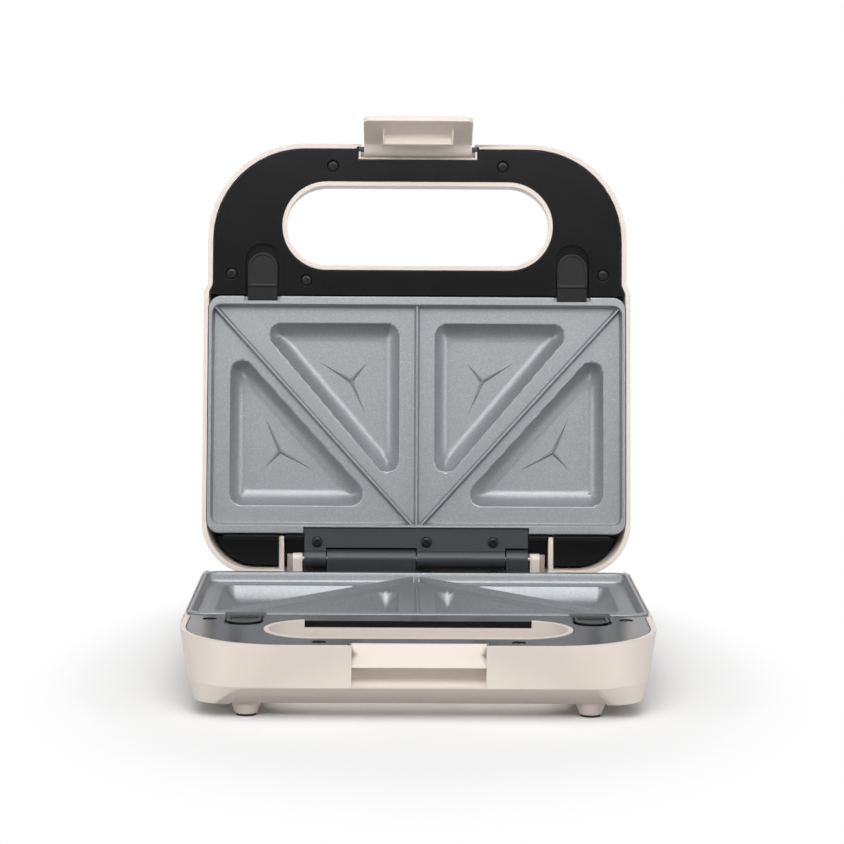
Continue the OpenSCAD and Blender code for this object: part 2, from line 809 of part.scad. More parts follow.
// Corners of the two pockets of one side, the right-angled corner first
front_pocket = [
    [-ridge_margin, tray_front + front_margin],
    [-tray_side + front_tip[0], tray_front + front_margin],
    [-ridge_margin, tray_rear - front_tip[1]]
];
rear_pocket = [
    [-tray_side + side_margin, tray_rear - rear_margin],
    [-rear_tip[0], tray_rear - rear_margin],
    [-tray_side + side_margin, tray_front + rear_tip[1]]
];
function flipped(p) = [for (q = p) [-q[0], q[1]]];
POCKETS = [front_pocket, rear_pocket, flipped(front_pocket), flipped(rear_pocket)];

// Middle of the circle that rounds a pocket's corner i, drawn in by d
function unit(v) = v / norm(v);
function corner_in(p, i, d) =
    let (a = unit(p[(i + 1) % 3] - p[i]), b = unit(p[(i + 2) % 3] - p[i]), m = unit(a + b))
    p[i] + m * d / sqrt((1 - a * b) / 2);

// Outward normal of the side a-b of a triangle whose third corner is c
function outward(a, b, c) =
    let (n = unit([a[1] - b[1], b[0] - a[0]]))
    n * (c - a) > 0 ? -n : n;

module rounded_triangle(p, grow) {
    r = pocket_corner + grow;
    c = [for (i = [0 : 2]) corner_in(p, i, pocket_corner)];
    n = [for (i = [0 : 2]) outward(c[i], c[(i + 1) % 3], c[(i + 2) % 3]) * (r - SLICE)];
    polygon([c[0] + n[0], c[1] + n[0], c[1] + n[1], c[2] + n[1], c[2] + n[2], c[0] + n[2]]);
    for (q = c) translate(q) circle(r = r, $fn = ROUND);
}

module pocket_boss(p) {
    z0 = flat_z - pocket_depth - pocket_t;
    translate([0, 0, z0]) linear_extrude(plate_low + 0.5 - z0) rounded_triangle(p, pocket_t);
}

module pocket_cavity(p) {
    hull() for (i = [0 : 2]) {
        translate([0, 0, flat_z]) translate(corner_in(p, i, pocket_corner))
            cylinder(h = 0.1, r = pocket_corner, $fn = CORNER);
        translate([0, 0, flat_z - pocket_depth])
            translate(corner_in(p, i, pocket_corner + pocket_draft * 0.6))
            cylinder(h = 0.1, r = pocket_corner - pocket_draft * 0.4, $fn = CORNER);
    }
}

module pocket_mark(p) {
    c = (p[0] + p[1] + p[2]) / 3;
    d = [for (i = [0 : 2]) unit(p[i] - c)];
    between = [for (i = [0 : 2]) unit(d[i] + d[(i + 1) % 3]) * mark_w];
    translate([0, 0, flat_z - pocket_depth - 0.4]) linear_extrude(0.4 + mark_h) polygon([
        c + d[0] * mark_short, c + between[0], c + d[1] * mark_long, c + between[1],
        c + d[2] * mark_long, c + between[2]
    ]);
}

module ridge(a, b) {
    v = b - a;
    translate([a[0], a[1], flat_z]) rotate([0, 0, atan2(v[1], v[0])]) rotate([90, 0, 90])
        linear_extrude(norm(v)) polygon([
            [-ridge_w / 2, -0.4], [ridge_w / 2, -0.4], [ridge_w / 2, 0],
            [ridge_top / 2, ridge_h], [-ridge_top / 2, ridge_h], [-ridge_w / 2, 0]
        ]);
}

module tray_plan() {
    r = plate_corner - 2;
    translate([-tray_side, tray_front + r]) square([2 * tray_side, tray_rear - tray_front - 2 * r]);
    translate([-tray_side + r, tray_front]) square([2 * (tray_side - r), tray_rear - tray_front]);
    for (s = [-1, 1], y = [tray_front + r, tray_rear - r])
        translate([s * (tray_side - r), y]) circle(r = r, $fn = ROUND);
}

// Slope that a rim's inner face has towards the flat, along x
module rim_slope(y, s) {
    rotate([90, 0, 90]) translate([0, 0, -tray_side + 2]) linear_extrude(2 * tray_side - 4)
        polygon([[y - s * 0.4, flat_z - 0.4], [y + s * rim_draft, flat_z - 0.4],
            [y + s * rim_draft, flat_z], [y, rim_z - 0.4], [y - s * 0.4, rim_z - 0.4]]);
}

module plate_body() {
    difference() {
        translate([0, 0, plate_low]) linear_extrude(rim_z - plate_low) plate_plan(0);
        translate([0, 0, flat_z]) linear_extrude(rim_h + CUT) tray_plan();
    }
    rim_slope(tray_front, 1);
    rim_slope(tray_rear, -1);
    intersection() {
        union() {
            ridge([0, tray_front - 1], [0, tray_rear + 1]);
            ridge([-1, tray_rear + 1], [-tray_side - 1, tray_front - 1]);
            ridge([1, tray_rear + 1], [tray_side + 1, tray_front - 1]);
        }
        translate([0, 0, plate_low]) linear_extrude(rim_z - plate_low) plate_plan(rim_side / 2);
    }
    for (p = POCKETS) pocket_boss(p);
}

module plate() {
    difference() {
        plate_body();
        for (p = POCKETS) pocket_cavity(p);
        // notches of the clips' tongues
        for (s = [-1, 1])
            box(s * clip_x - clip_w / 2 - 2, s * clip_x + clip_w / 2 + 2, -plate_d - CUT,
                -plate_d + tongue + 0.4, pocket_floor, CUT);
        // notch of the hinge strip
        box(-strip_half - 0.6, strip_half + 0.6, -strip_lap - 0.3, CUT, strip_low - 0.3, CUT);
    }
    for (p = POCKETS) pocket_mark(p);
}

module lower_plate() {
    color(PLATE) stand() plate();
}

module upper_plate() {
    color(PLATE) in_lid() plate();
}

// Slide clip, drawn for the base
module clip(s) {
    x = s * clip_x;
    r = clip_w / 2;
    dish_r = r - clip_rim;
    difference() {
        union() {
            // raised pad, and the tongue that slides over the plate
            translate([x, 0, clip_low]) linear_extrude(clip_pad_top - clip_low) {
                translate([-r, clip_end + r]) square([2 * r, pad_end - clip_end - r]);
                translate([0, clip_end + r]) circle(r = r, $fn = ROUND);
            }
            box(x - r, x + r, pad_end - CUT, tongue_y, clip_low, clip_low + clip_t);
            box(x - stem_w / 2, x + stem_w / 2, stem_y - stem_l / 2, stem_y + stem_l / 2,
                clip_foot_low() + 0.1, clip_low + 0.1);
            box(x - foot_w / 2, x + foot_w / 2, stem_y - foot_l / 2, stem_y + foot_l / 2,
                clip_foot_low(), clip_foot_low() + foot_t);
        }
        translate([x, 0, clip_pad_top - dish_h]) linear_extrude(dish_h + CUT) {
            translate([-dish_r, clip_end + r]) square([2 * dish_r, pad_end - clip_rim - clip_end - r]);
            translate([0, clip_end + r]) circle(r = dish_r, $fn = ROUND);
        }
    }
}

module clip_spring(s) {
    rod_hollow(stop_y, stem_y - foot_l / 2, s * clip_x, clip_foot_low() + foot_t / 2 - 0.6);
}

module rod_hollow(y0, y1, x, z) {
    difference() {
        rod_y(y0, y1, spring_r, x, z);
        rod_y(y0 - CUT, y1 + CUT, spring_r - spring_wire, x, z);
    }
}

module lower_clip_left() {
    color(BLACK) stand() clip(-1);
}

module lower_clip_right() {
    color(BLACK) stand() clip(1);
}

module upper_clip_left() {
    color(BLACK) in_lid() clip(-1);
}

module upper_clip_right() {
    color(BLACK) in_lid() clip(1);
}

module lower_spring_left() {
    color(STEEL) stand() clip_spring(-1);
}

module lower_spring_right() {
    color(STEEL) stand() clip_spring(1);
}

module upper_spring_left() {
    color(STEEL) in_lid() clip_spring(-1);
}

module upper_spring_right() {
    color(STEEL) in_lid() clip_spring(1);
}

// Heating element: a rounded loop with its ends turned to the rear
module heater() {
    ends = [-heater_end_x, heater_end_x];
    rod_x(-heater_x + heater_bend, heater_x - heater_bend, heater_r, heater_front, heater_z);
    for (s = [-1, 1]) {
        rod_y(heater_front + heater_bend, heater_rear - heater_bend, heater_r, s * heater_x, heater_z);
        mirror([s < 0 ? 1 : 0, 0, 0]) {
            translate([heater_x - heater_bend, heater_front + heater_bend, heater_z])
                rotate([0, 0, -90]) rotate_extrude(angle = 90, $fn = ROUND)
                    translate([heater_bend, 0]) circle(r = heater_r, $fn = 32);
            translate([heater_x - heater_bend, heater_rear - heater_bend, heater_z])
                rotate_extrude(angle = 90, $fn = ROUND)
                    translate([heater_bend, 0]) circle(r = heater_r, $fn = 32);
            rod_x(heater_end_x + heater_bend, heater_x - heater_bend, heater_r, heater_rear, heater_z);
            translate([heater_end_x + heater_bend, heater_rear + heater_bend, heater_z])
                rotate([0, 0, 180]) rotate_extrude(angle = 90, $fn = ROUND)
                    translate([heater_bend, 0]) circle(r = heater_r, $fn = 32);
            rod_y(heater_rear + heater_bend, heater_end_y, heater_r, heater_end_x, heater_z);
            rod_y(heater_end_y - 0.5, heater_end_y + 3, 1.2, heater_end_x, heater_z);
        }
    }
}

module lower_heater() {
    color(STEEL) stand() heater();
}

module upper_heater() {
    color(STEEL) in_lid() heater();
}

// Heat shield with saddles for the element
saddle_y = -70;
saddle_front_x = 40;
saddle_rear_x = 55;

module saddle(x, y, top) {
    box(x - 5, x + 5, y - 5, y + 5, top - 0.1, heater_z);
}

module reflector() {
    depth = inner_depth;
    x = shield_x;
    y0 = bay_front + rail_front + 1;
    y1 = bay_rear - rail_rear - 1;
    top = -depth + shield_t;
    difference() {
        box(-x, x, y0, y1, -depth, top + 4);
        box(-x + shield_t, x - shield_t, y0 + shield_t, y1 - shield_t, top, top + 5);
    }
    for (s = [-1, 1]) {
        difference() {
            saddle(s * heater_x, saddle_y, top);
            rod_y(saddle_y - 6, saddle_y + 6, heater_r + 0.05, s * heater_x, heater_z);
        }
        for (p = [[saddle_front_x, heater_front], [saddle_rear_x, heater_rear]]) difference() {
            saddle(s * p[0], p[1], top);
            rod_x(s * p[0] - 6, s * p[0] + 6, heater_r + 0.05, p[1], heater_z);
        }
    }
}

module lower_reflector() {
    color(BRIGHT) stand() reflector();
}

module upper_reflector() {
    color(BRIGHT) in_lid() reflector();
}

// Disc thermostat on its bracket, pressed against the plate between the pockets
thermo_y = -plate_d / 2 - 6;
thermo_r = 7;
thermo_h = 6;
ear_reach = 8.5;
ear_half = 3;
ear_t = 0.8;
bracket_half = 4;
bracket_foot = 6;

module thermostat() {
    shield_top = -inner_depth + shield_t;
    color(STEEL) stand() {
        rod_z(plate_low - thermo_h, plate_low, thermo_r, 0, thermo_y);
        for (s = [-1, 1])
            box(-ear_half, ear_half, thermo_y + s * ear_reach - ear_half, thermo_y + s * ear_reach + ear_half,
                plate_low - thermo_h, plate_low - thermo_h + ear_t);
        box(-bracket_half, bracket_half, thermo_y - 1, thermo_y + 1, shield_top, plate_low - thermo_h + 0.1);
        box(-bracket_foot, bracket_foot, thermo_y - bracket_foot, thermo_y + bracket_foot,
            shield_top, shield_top + 1);
    }
}

fuse_y = thermo_y + 30;
fuse_r = 2;
fuse_half = 6;
lead_half = 12;
fuse_drop = 3;

module thermal_fuse() {
    color(BRIGHT) stand() {
        rod_y(fuse_y - fuse_half, fuse_y + fuse_half, fuse_r, 0, plate_low - fuse_drop);
        rod_y(fuse_y - lead_half, fuse_y + lead_half, 0.5, 0, plate_low - fuse_drop);
        box(-3, 3, fuse_y - 2, fuse_y + 2, -inner_depth + shield_t, plate_low - fuse_drop - 1);
    }
}

module terminal_block() {
    color([0.92, 0.9, 0.85]) stand() difference() {
        box(-47, -13, 4.6, 11.2, -inner_depth, -inner_depth + 10);
        for (i = [0 : 2]) {
            rod_z(-inner_depth + 4, -inner_depth + 11, 2, -41 + 11 * i, 7.9);
            rod_y(4, 12, 1.6, -41 + 11 * i, -inner_depth + 4);
        }
    }
}

// Grommet of the cord inlet
module cord_grommet() {
    color(BLACK) stand() difference() {
        union() {
            rod_y(rear_y - wall_draft - wall - 3, rear_y + 0.1, grommet_r, inlet_x, inlet_z);
            rod_y(rear_y, rear_y + 1.6, inlet_boss_r - 0.4, inlet_x, inlet_z);
        }
        rod_y(rear_y - wall_draft - wall - 4, rear_y + 3, inlet_r, inlet_x, inlet_z);
    }
}

module foot_pads() {
    color(BLACK) stand() for (s = [-1, 1], y = [foot_front_y, foot_rear_y]) {
        rod_z(-rest_z, -rest_z + pad_t, foot_low_r - 0.5, s * foot_x, y);
        rod_z(-rest_z + pad_t - 0.1, -rest_z + pad_t + 2.4, 2.5, s * foot_x, y);
    }
}

// Hinge leaf: strip, upturned web and knuckles between the given ends
module leaf(spans) {
    difference() {
        union() {
            box(-strip_half, strip_half, -strip_lap, strip_rear, strip_low, strip_z);
            for (k = spans) {
                box(k[0], k[1], strip_rear - CUT, strip_rear + web_gap + web_t, strip_low, strip_z);
                box(k[0], k[1], strip_rear + web_gap, strip_rear + web_gap + web_t, strip_low, k[2]);
                rod_x(k[0], k[1], knuckle_r, pin_back, k[2]);
            }
        }
        for (k = spans) rod_x(k[0] - CUT, k[1] + CUT, pin_r + pin_fit, pin_back, k[2]);
        for (x = strip_screws) rod_z(strip_low - CUT, strip_z + CUT, leaf_hole_r, x, strip_screw_y);
    }
}

module lower_hinge_leaf() {
    color(DARK_STEEL) stand() leaf([
        [-knuckle_split + knuckle_gap / 2, -knuckle_gap / 2, pin_up],
        [knuckle_split + knuckle_gap / 2, strip_half, pin_up]
    ]);
}

module upper_hinge_leaf() {
    color(DARK_STEEL) opened() upper_leaf([
        [-strip_half, -knuckle_split - knuckle_gap / 2],
        [knuckle_gap / 2, knuckle_split - knuckle_gap / 2]
    ]);
}

module upper_leaf(spans) {
    difference() {
        union() {
            box(-strip_half, strip_half, -strip_lap, strip_rear, -strip_z, -strip_low);
            for (k = spans) {
                box(k[0], k[1], strip_rear - CUT, strip_rear + web_gap + web_t, -strip_z, -strip_low);
                box(k[0], k[1], strip_rear + web_gap, strip_rear + web_gap + web_t, -strip_z, pin_up);
                rod_x(k[0], k[1], knuckle_r, pin_back, pin_up);
            }
        }
        for (k = spans) rod_x(k[0] - CUT, k[1] + CUT, pin_r + pin_fit, pin_back, pin_up);
        for (x = strip_screws) rod_z(-strip_z - CUT, -strip_low + CUT, leaf_hole_r, x, strip_screw_y);
    }
}

// Pan head screw with a cross recess, its head on the given level
module screw(x, y, z, r, h, length) {
    difference() {
        union() {
            rod_z(z, z + h, r, x, y);
            rod_z(z - length, z + 0.1, shank_r, x, y);
        }
        box(x - r * 0.6, x + r * 0.6, y - 0.4, y + 0.4, z + h - 0.8, z + h + CUT);
        box(x - 0.4, x + 0.4, y - r * 0.6, y + r * 0.6, z + h - 0.8, z + h + CUT);
    }
}

module leaf_screws() {
    for (x = strip_screws) screw(x, strip_screw_y, strip_z, leaf_head_r, leaf_head_h, strip_t + leaf_shank_l);
}

module lower_hinge_screws() {
    color(STEEL) stand() leaf_screws();
}

module upper_hinge_screws() {
    color(STEEL) in_lid() leaf_screws();
}

module hinge_pin() {
    color(STEEL) stand() rod_x(-cheek_out, cheek_out, pin_r, pin_back, pin_up);
}

module frame_screws(places) {
    for (p = places)
        screw(p[0], -plate_d - p[1], deck_z - head_sink - head_h, head_r, head_h, deck_t + shank_l - 3);
}

module base_frame_screws() {
    color(DARK_STEEL) stand() frame_screws(BASE_SCREWS);
}

module lid_frame_screws() {
    color(DARK_STEEL) in_lid() frame_screws(LID_SCREWS);
}

// Latch, drawn closed and turned about its pin to the stored pose
module latch_closed() {
    tip = latch_pin_up - latch_len;
    difference() {
        union() {
            rod_x(-latch_w / 2, latch_w / 2, barrel_r, latch_pin_y, latch_pin_up);
            box(-latch_w / 2, latch_w / 2, latch_face, latch_pin_y, latch_pin_up - barrel_r, latch_pin_up);
            rotate([90, 0, 0]) translate([0, 0, -latch_inner]) linear_extrude(latch_t) {
                translate([-latch_w / 2, tip + 3]) square([latch_w, latch_pin_up - tip - 3]);
                translate([-latch_w / 2 + 3, tip]) square([latch_w - 6, 4]);
                for (s = [-1, 1]) translate([s * (latch_w / 2 - 3), tip + 3]) circle(r = 3, $fn = ROUND);
            }
            box(-hook_w / 2, hook_w / 2, latch_inner - 0.5, latch_inner + hook_reach, hook_top - hook_t, hook_top);
            for (s = [-1, 1]) rotate([90, 0, 90])
                translate([0, 0, s > 0 ? hook_w / 2 - 1 : -hook_w / 2]) linear_extrude(1) polygon([
                    [latch_inner - 0.5, hook_top - hook_t], [latch_inner + hook_reach, hook_top - hook_t],
                    [latch_inner - 0.5, hook_top - hook_t - gusset_l]
                ]);
        }
        rod_x(-latch_w, latch_w, latch_pin_r + pin_fit, latch_pin_y, latch_pin_up);
    }
}

module latch() {
    color(BEIGE) opened() translate([0, latch_pin_y, latch_pin_up]) rotate([-latch_open, 0, 0])
        translate([0, -latch_pin_y, -latch_pin_up]) latch_closed();
}

module latch_pin() {
    color(STEEL) opened()
        rod_x(-notch_half - notch_wall, notch_half + notch_wall, latch_pin_r, latch_pin_y, latch_pin_up);
}

// Light pipes, their lamps and the holder below them

module lens(s) {
    opened() rod_z(lens_low, lens_top, lens_r, s * lens_x, lens_y);
}

module power_lens() {
    color([0.8, 0.1, 0.08]) lens(-1);
}

module ready_lens() {
    color([0.1, 0.6, 0.2]) lens(1);
}

module indicator_lamps() {
    color([0.95, 0.8, 0.6]) opened() for (s = [-1, 1])
        rod_z(tube_low, lens_low - 0.3, lens_r - 0.7, s * lens_x, lens_y);
}

module lamp_holder() {
    color([0.9, 0.88, 0.82]) opened()
        box(-lens_x - 6, lens_x + 6, lens_y - 3.5, lens_y + 3.5, tube_low - 4, tube_low);
}

base_shell();
lower_frame();
lower_plate();
lower_heater();
lower_reflector();
thermostat();
thermal_fuse();
terminal_block();
cord_grommet();
foot_pads();
lower_hinge_leaf();
lower_hinge_screws();
hinge_pin();
base_frame_screws();
lower_clip_left();
lower_clip_right();
lower_spring_left();
lower_spring_right();
lid_shell();
upper_frame();
upper_plate();
upper_heater();
upper_reflector();
upper_hinge_leaf();
upper_hinge_screws();
lid_frame_screws();
upper_clip_left();
upper_clip_right();
upper_spring_left();
upper_spring_right();
latch();
latch_pin();
power_lens();
ready_lens();
indicator_lamps();
lamp_holder();
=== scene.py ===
"""Sandwich toaster standing open on a pale studio floor: its finishes, its finer meshes and its light."""

import logging
import math
from dataclasses import dataclass, field
from enum import Enum
from typing import Callable, Iterable, Optional, Sequence

import bmesh
import bpy
import numpy as np
from mathutils import Matrix, Vector


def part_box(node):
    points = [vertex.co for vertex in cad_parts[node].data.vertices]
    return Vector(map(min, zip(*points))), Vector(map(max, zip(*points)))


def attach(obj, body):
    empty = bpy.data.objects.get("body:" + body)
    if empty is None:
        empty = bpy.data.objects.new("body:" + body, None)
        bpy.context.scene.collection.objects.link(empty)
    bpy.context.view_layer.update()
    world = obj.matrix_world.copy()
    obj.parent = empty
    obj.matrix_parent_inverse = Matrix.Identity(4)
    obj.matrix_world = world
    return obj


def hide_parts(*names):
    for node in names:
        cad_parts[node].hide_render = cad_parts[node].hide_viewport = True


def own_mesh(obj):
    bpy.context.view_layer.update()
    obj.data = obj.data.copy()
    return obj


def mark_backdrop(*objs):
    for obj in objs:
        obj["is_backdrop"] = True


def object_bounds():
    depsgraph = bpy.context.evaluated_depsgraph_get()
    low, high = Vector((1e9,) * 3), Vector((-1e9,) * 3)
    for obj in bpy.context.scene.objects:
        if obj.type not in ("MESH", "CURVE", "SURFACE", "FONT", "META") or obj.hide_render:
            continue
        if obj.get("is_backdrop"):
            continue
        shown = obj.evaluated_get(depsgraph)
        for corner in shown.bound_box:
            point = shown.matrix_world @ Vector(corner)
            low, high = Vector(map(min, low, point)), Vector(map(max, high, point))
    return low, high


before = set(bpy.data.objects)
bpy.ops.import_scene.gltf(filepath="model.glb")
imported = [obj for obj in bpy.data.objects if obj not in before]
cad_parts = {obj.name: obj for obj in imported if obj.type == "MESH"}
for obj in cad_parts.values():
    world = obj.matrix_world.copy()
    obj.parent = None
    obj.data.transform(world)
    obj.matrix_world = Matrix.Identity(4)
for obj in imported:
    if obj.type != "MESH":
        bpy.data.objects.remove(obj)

LOG = logging.getLogger("toaster")
MM = 0.001
WELD = 3e-5
CLIPS = [f"{level}_clip_{side}" for level in ("lower", "upper") for side in ("left", "right")]


# Places and halves


class Half(Enum):
    """The half of the toaster that a piece belongs to."""

    BASE = "base"
    LID = "lid"


@dataclass(frozen=True)
class Frame:
    """Turns the drawing's millimetres, closed and about the parting plane, into the stored frame.

    Args:
        front: y of the base's front, in the drawing.
        rest: height of the parting plane over the worktop.
        hinge_y: y of the hinge pin in the drawing.
        hinge_z: z of the hinge pin in the drawing.
        opening: angle that the lid stands open at.
    """

    front: float = -211.0
    rest: float = 36.8
    hinge_y: float = 13.6
    hinge_z: float = 4.3
    opening: float = 100.0

    def origin_y(self) -> float:
        """Returns how far the drawing's zero lies in front of the stored origin, in millimetres."""
        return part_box("base_shell")[0].y / MM - self.front

    def base(self) -> Matrix:
        """Returns the matrix of the base half."""
        return Matrix.Translation((0, self.origin_y() * MM, self.rest * MM)) @ Matrix.Scale(MM, 4)

    def lid(self) -> Matrix:
        """Returns the matrix of a lid piece drawn in the lid's own place, closed."""
        pivot = Vector((0, self.hinge_y, self.hinge_z))
        turn = Matrix.Rotation(-math.radians(self.opening), 4, "X")
        return self.base() @ Matrix.Translation(pivot) @ turn @ Matrix.Translation(-pivot)

    def mirrored(self) -> Matrix:
        """Returns the matrix that puts a piece drawn for the base upside down in the lid."""
        return self.lid() @ Matrix.Diagonal((1, 1, -1, 1))

    def of(self, half: Half) -> Matrix:
        """Returns the matrix that puts a piece drawn for the base into a half."""
        return self.base() if half is Half.BASE else self.mirrored()


PLACE = Frame()


# Finishes


def linear(rgb: Sequence[float]) -> tuple[float, float, float, float]:
    """Turns an 8-bit display colour into linear values.

    Args:
        rgb: red, green and blue from 0 to 255.

    Returns:
        The colour with an alpha of 1.
    """
    def one(v: float) -> float:
        """Returns the linear value of one channel."""
        v /= 255
        return v / 12.92 if v <= 0.04045 else ((v + 0.055) / 1.055) ** 2.4
    return one(rgb[0]), one(rgb[1]), one(rgb[2]), 1.0


class Graph:
    """A node tree with one way to add nodes to it."""

    def __init__(self, tree: bpy.types.NodeTree) -> None:
        """Keeps the tree that nodes are added to."""
        self.tree = tree

    def feed(self, node: bpy.types.Node, values: dict[str | int, object]) -> None:
        """Sets or links a node's inputs.

        Args:
            node: the node.
            values: a plain value or another node's socket for each input.
        """
        for key, value in values.items():
            if isinstance(value, bpy.types.NodeSocket):
                self.tree.links.new(value, node.inputs[key])
            else:
                node.inputs[key].default_value = value

    def add(self, kind: str, values: Optional[dict[str | int, object]] = None,
            **settings: object) -> bpy.types.Node:
        """Adds a node.

        Args:
            kind: the node's type.
            values: its inputs, as for feed.
            settings: its own properties.

        Returns:
            The node.
        """
        node = self.tree.nodes.new(kind)
        for key, value in settings.items():
            setattr(node, key, value)
        self.feed(node, values or {})
        return node

    def math(self, operation: str, *values: object, use_clamp: bool = False) -> bpy.types.NodeSocket:
        """Adds a math node with its inputs in order and returns its result, kept from 0 to 1 on request."""
        node = self.add("ShaderNodeMath", dict(enumerate(values)), operation=operation, use_clamp=use_clamp)
        return node.outputs[0]


class Effects:
    """Shader node groups that several finishes share."""

    def __init__(self) -> None:
        """Builds the groups."""
        self.grain = self._grain()
        self.fleck = self._fleck()
        self.wear = self._wear()

    @staticmethod
    def _group(name: str, inputs: dict[str, float],
               outputs: Sequence[str]) -> tuple[Graph, bpy.types.Node, bpy.types.Node, bpy.types.NodeSocket]:
        """Makes a group with its number sockets.

        Args:
            name: the group's name.
            inputs: inputs and their defaults.
            outputs: names of the outputs.

        Returns:
            The graph, its input and output nodes, and the object coordinates.
        """
        graph = Graph(bpy.data.node_groups.new(name, "ShaderNodeTree"))
        for key, value in inputs.items():
            socket = graph.tree.interface.new_socket(key, in_out="INPUT", socket_type="NodeSocketFloat")
            socket.default_value = value
        for key in outputs:
            graph.tree.interface.new_socket(key, in_out="OUTPUT", socket_type="NodeSocketFloat")
        place = graph.add("ShaderNodeTexCoord").outputs["Object"]
        return graph, graph.add("NodeGroupInput"), graph.add("NodeGroupOutput"), place

    def _grain(self) -> bpy.types.NodeTree:
        """Returns the fine grain of a moulded surface: a height and a roughness that wander."""
        inputs = {"Scale": 900.0, "Roughness": 0.4, "Spread": 0.05}
        graph, give, take, place = self._group("moulded_grain", inputs, ("Height", "Roughness"))
        fine = graph.add("ShaderNodeTexNoise", {"Vector": place, "Scale": give.outputs["Scale"], "Detail": 3})
        broad = graph.add("ShaderNodeTexNoise", {"Vector": place, "Scale": 28})
        centred = graph.math("SUBTRACT", broad.outputs["Fac"], 0.5)
        spread = graph.math("MULTIPLY_ADD", centred, give.outputs["Spread"], give.outputs["Roughness"])
        graph.feed(take, {"Height": fine.outputs["Fac"], "Roughness": spread})
        return graph.tree

    def _fleck(self) -> bpy.types.NodeTree:
        """Returns the sprayed coating's flecks: a mask of bright grains and the coat's orange peel."""
        inputs = {"Scale": 1500.0, "Density": 0.3, "Peel": 260.0}
        graph, give, take, place = self._group("sprayed_fleck", inputs, ("Mask", "Height"))
        cells = graph.add("ShaderNodeTexVoronoi", {"Vector": place, "Scale": give.outputs["Scale"]})
        split = graph.add("ShaderNodeSeparateColor", {0: cells.outputs["Color"]})
        pick = graph.math("LESS_THAN", split.outputs[0], give.outputs["Density"])
        peel = graph.add("ShaderNodeTexNoise", {"Vector": place, "Scale": give.outputs["Peel"], "Detail": 2})
        graph.feed(take, {"Mask": graph.math("MULTIPLY", pick, split.outputs[1]),
                          "Height": peel.outputs["Fac"]})
        return graph.tree

    def _wear(self) -> bpy.types.NodeTree:
        """Returns faint handling marks: patches where a finish is a little rougher."""
        inputs = {"Roughness": 0.3, "Amount": 0.1}
        graph, give, take, place = self._group("handled", inputs, ("Roughness",))
        patch = graph.add("ShaderNodeTexNoise", {"Vector": place, "Scale": 60, "Detail": 5})
        level = give.outputs
        rise = graph.math("MULTIPLY_ADD", patch.outputs["Fac"], level["Amount"], level["Roughness"])
        graph.feed(take, {"Roughness": rise})
        return graph.tree


EFFECTS = Effects()


@dataclass(frozen=True)
class Finish:
    """A surface finish that makes its own material.

    Args:
        name: the material's name.
        slot: name of the slot that it stands for; not used.
        colour: display colour, 0 to 255.
        roughness: mean roughness.
        metallic: metallic share.
        grain: strength of the fine relief, in metres of height.
        scale: scale of that relief.
        spread: how much the roughness wanders.
        specular: specular level.
        transmission: share of light let through.
        edge: radius that the shading gives to sharp edges, in metres.
    """

    name: str
    slot: str
    colour: tuple[float, float, float]
    roughness: float = 0.4
    metallic: float = 0.0
    grain: float = 0.00001
    scale: float = 900.0
    spread: float = 0.06
    specular: float = 0.5
    transmission: float = 0.0
    edge: float = 0.0

    def _relief(self, graph: Graph, shader: bpy.types.Node, height: bpy.types.NodeSocket) -> None:
        """Feeds a height, and the rounding of sharp edges, to the shader's normal.

        Args:
            graph: the material's graph.
            shader: its shader.
            height: the socket that gives the height.
        """
        bump = graph.add("ShaderNodeBump", {"Strength": 1.0, "Distance": self.grain, "Height": height})
        if self.edge > 0:
            rounded = graph.add("ShaderNodeBevel", {"Radius": self.edge}, samples=6)
            graph.feed(bump, {"Normal": rounded.outputs["Normal"]})
        graph.feed(shader, {"Normal": bump.outputs["Normal"]})

    def _handled(self, graph: Graph, shader: bpy.types.Node) -> None:
        """Gives the roughness its handling marks.

        Args:
            graph: the material's graph.
            shader: its shader.
        """
        group = graph.add("ShaderNodeGroup", node_tree=EFFECTS.wear)
        graph.feed(group, {"Roughness": self.roughness, "Amount": self.spread})
        graph.feed(shader, {"Roughness": group.outputs["Roughness"]})

    def _texture(self, graph: Graph, shader: bpy.types.Node) -> None:
        """Adds the moulded grain.

        Args:
            graph: the material's graph.
            shader: its shader.
        """
        group = graph.add("ShaderNodeGroup", node_tree=EFFECTS.grain)
        graph.feed(group, {"Scale": self.scale, "Roughness": self.roughness, "Spread": self.spread})
        graph.feed(shader, {"Roughness": group.outputs["Roughness"]})
        self._relief(graph, shader, group.outputs["Height"])

    def make(self) -> bpy.types.Material:
        """Returns the material, built on the first call."""
        if self.name in bpy.data.materials:
            return bpy.data.materials[self.name]
        material = bpy.data.materials.new(self.name)
        material.use_nodes = True
        material.diffuse_color = linear(self.colour)
        graph = Graph(material.node_tree)
        shader = graph.tree.nodes["Principled BSDF"]
        graph.feed(shader, {
            "Base Color": linear(self.colour), "Roughness": self.roughness, "Metallic": self.metallic,
            "Specular IOR Level": self.specular, "Transmission Weight": self.transmission,
        })
        self._texture(graph, shader)
        return material


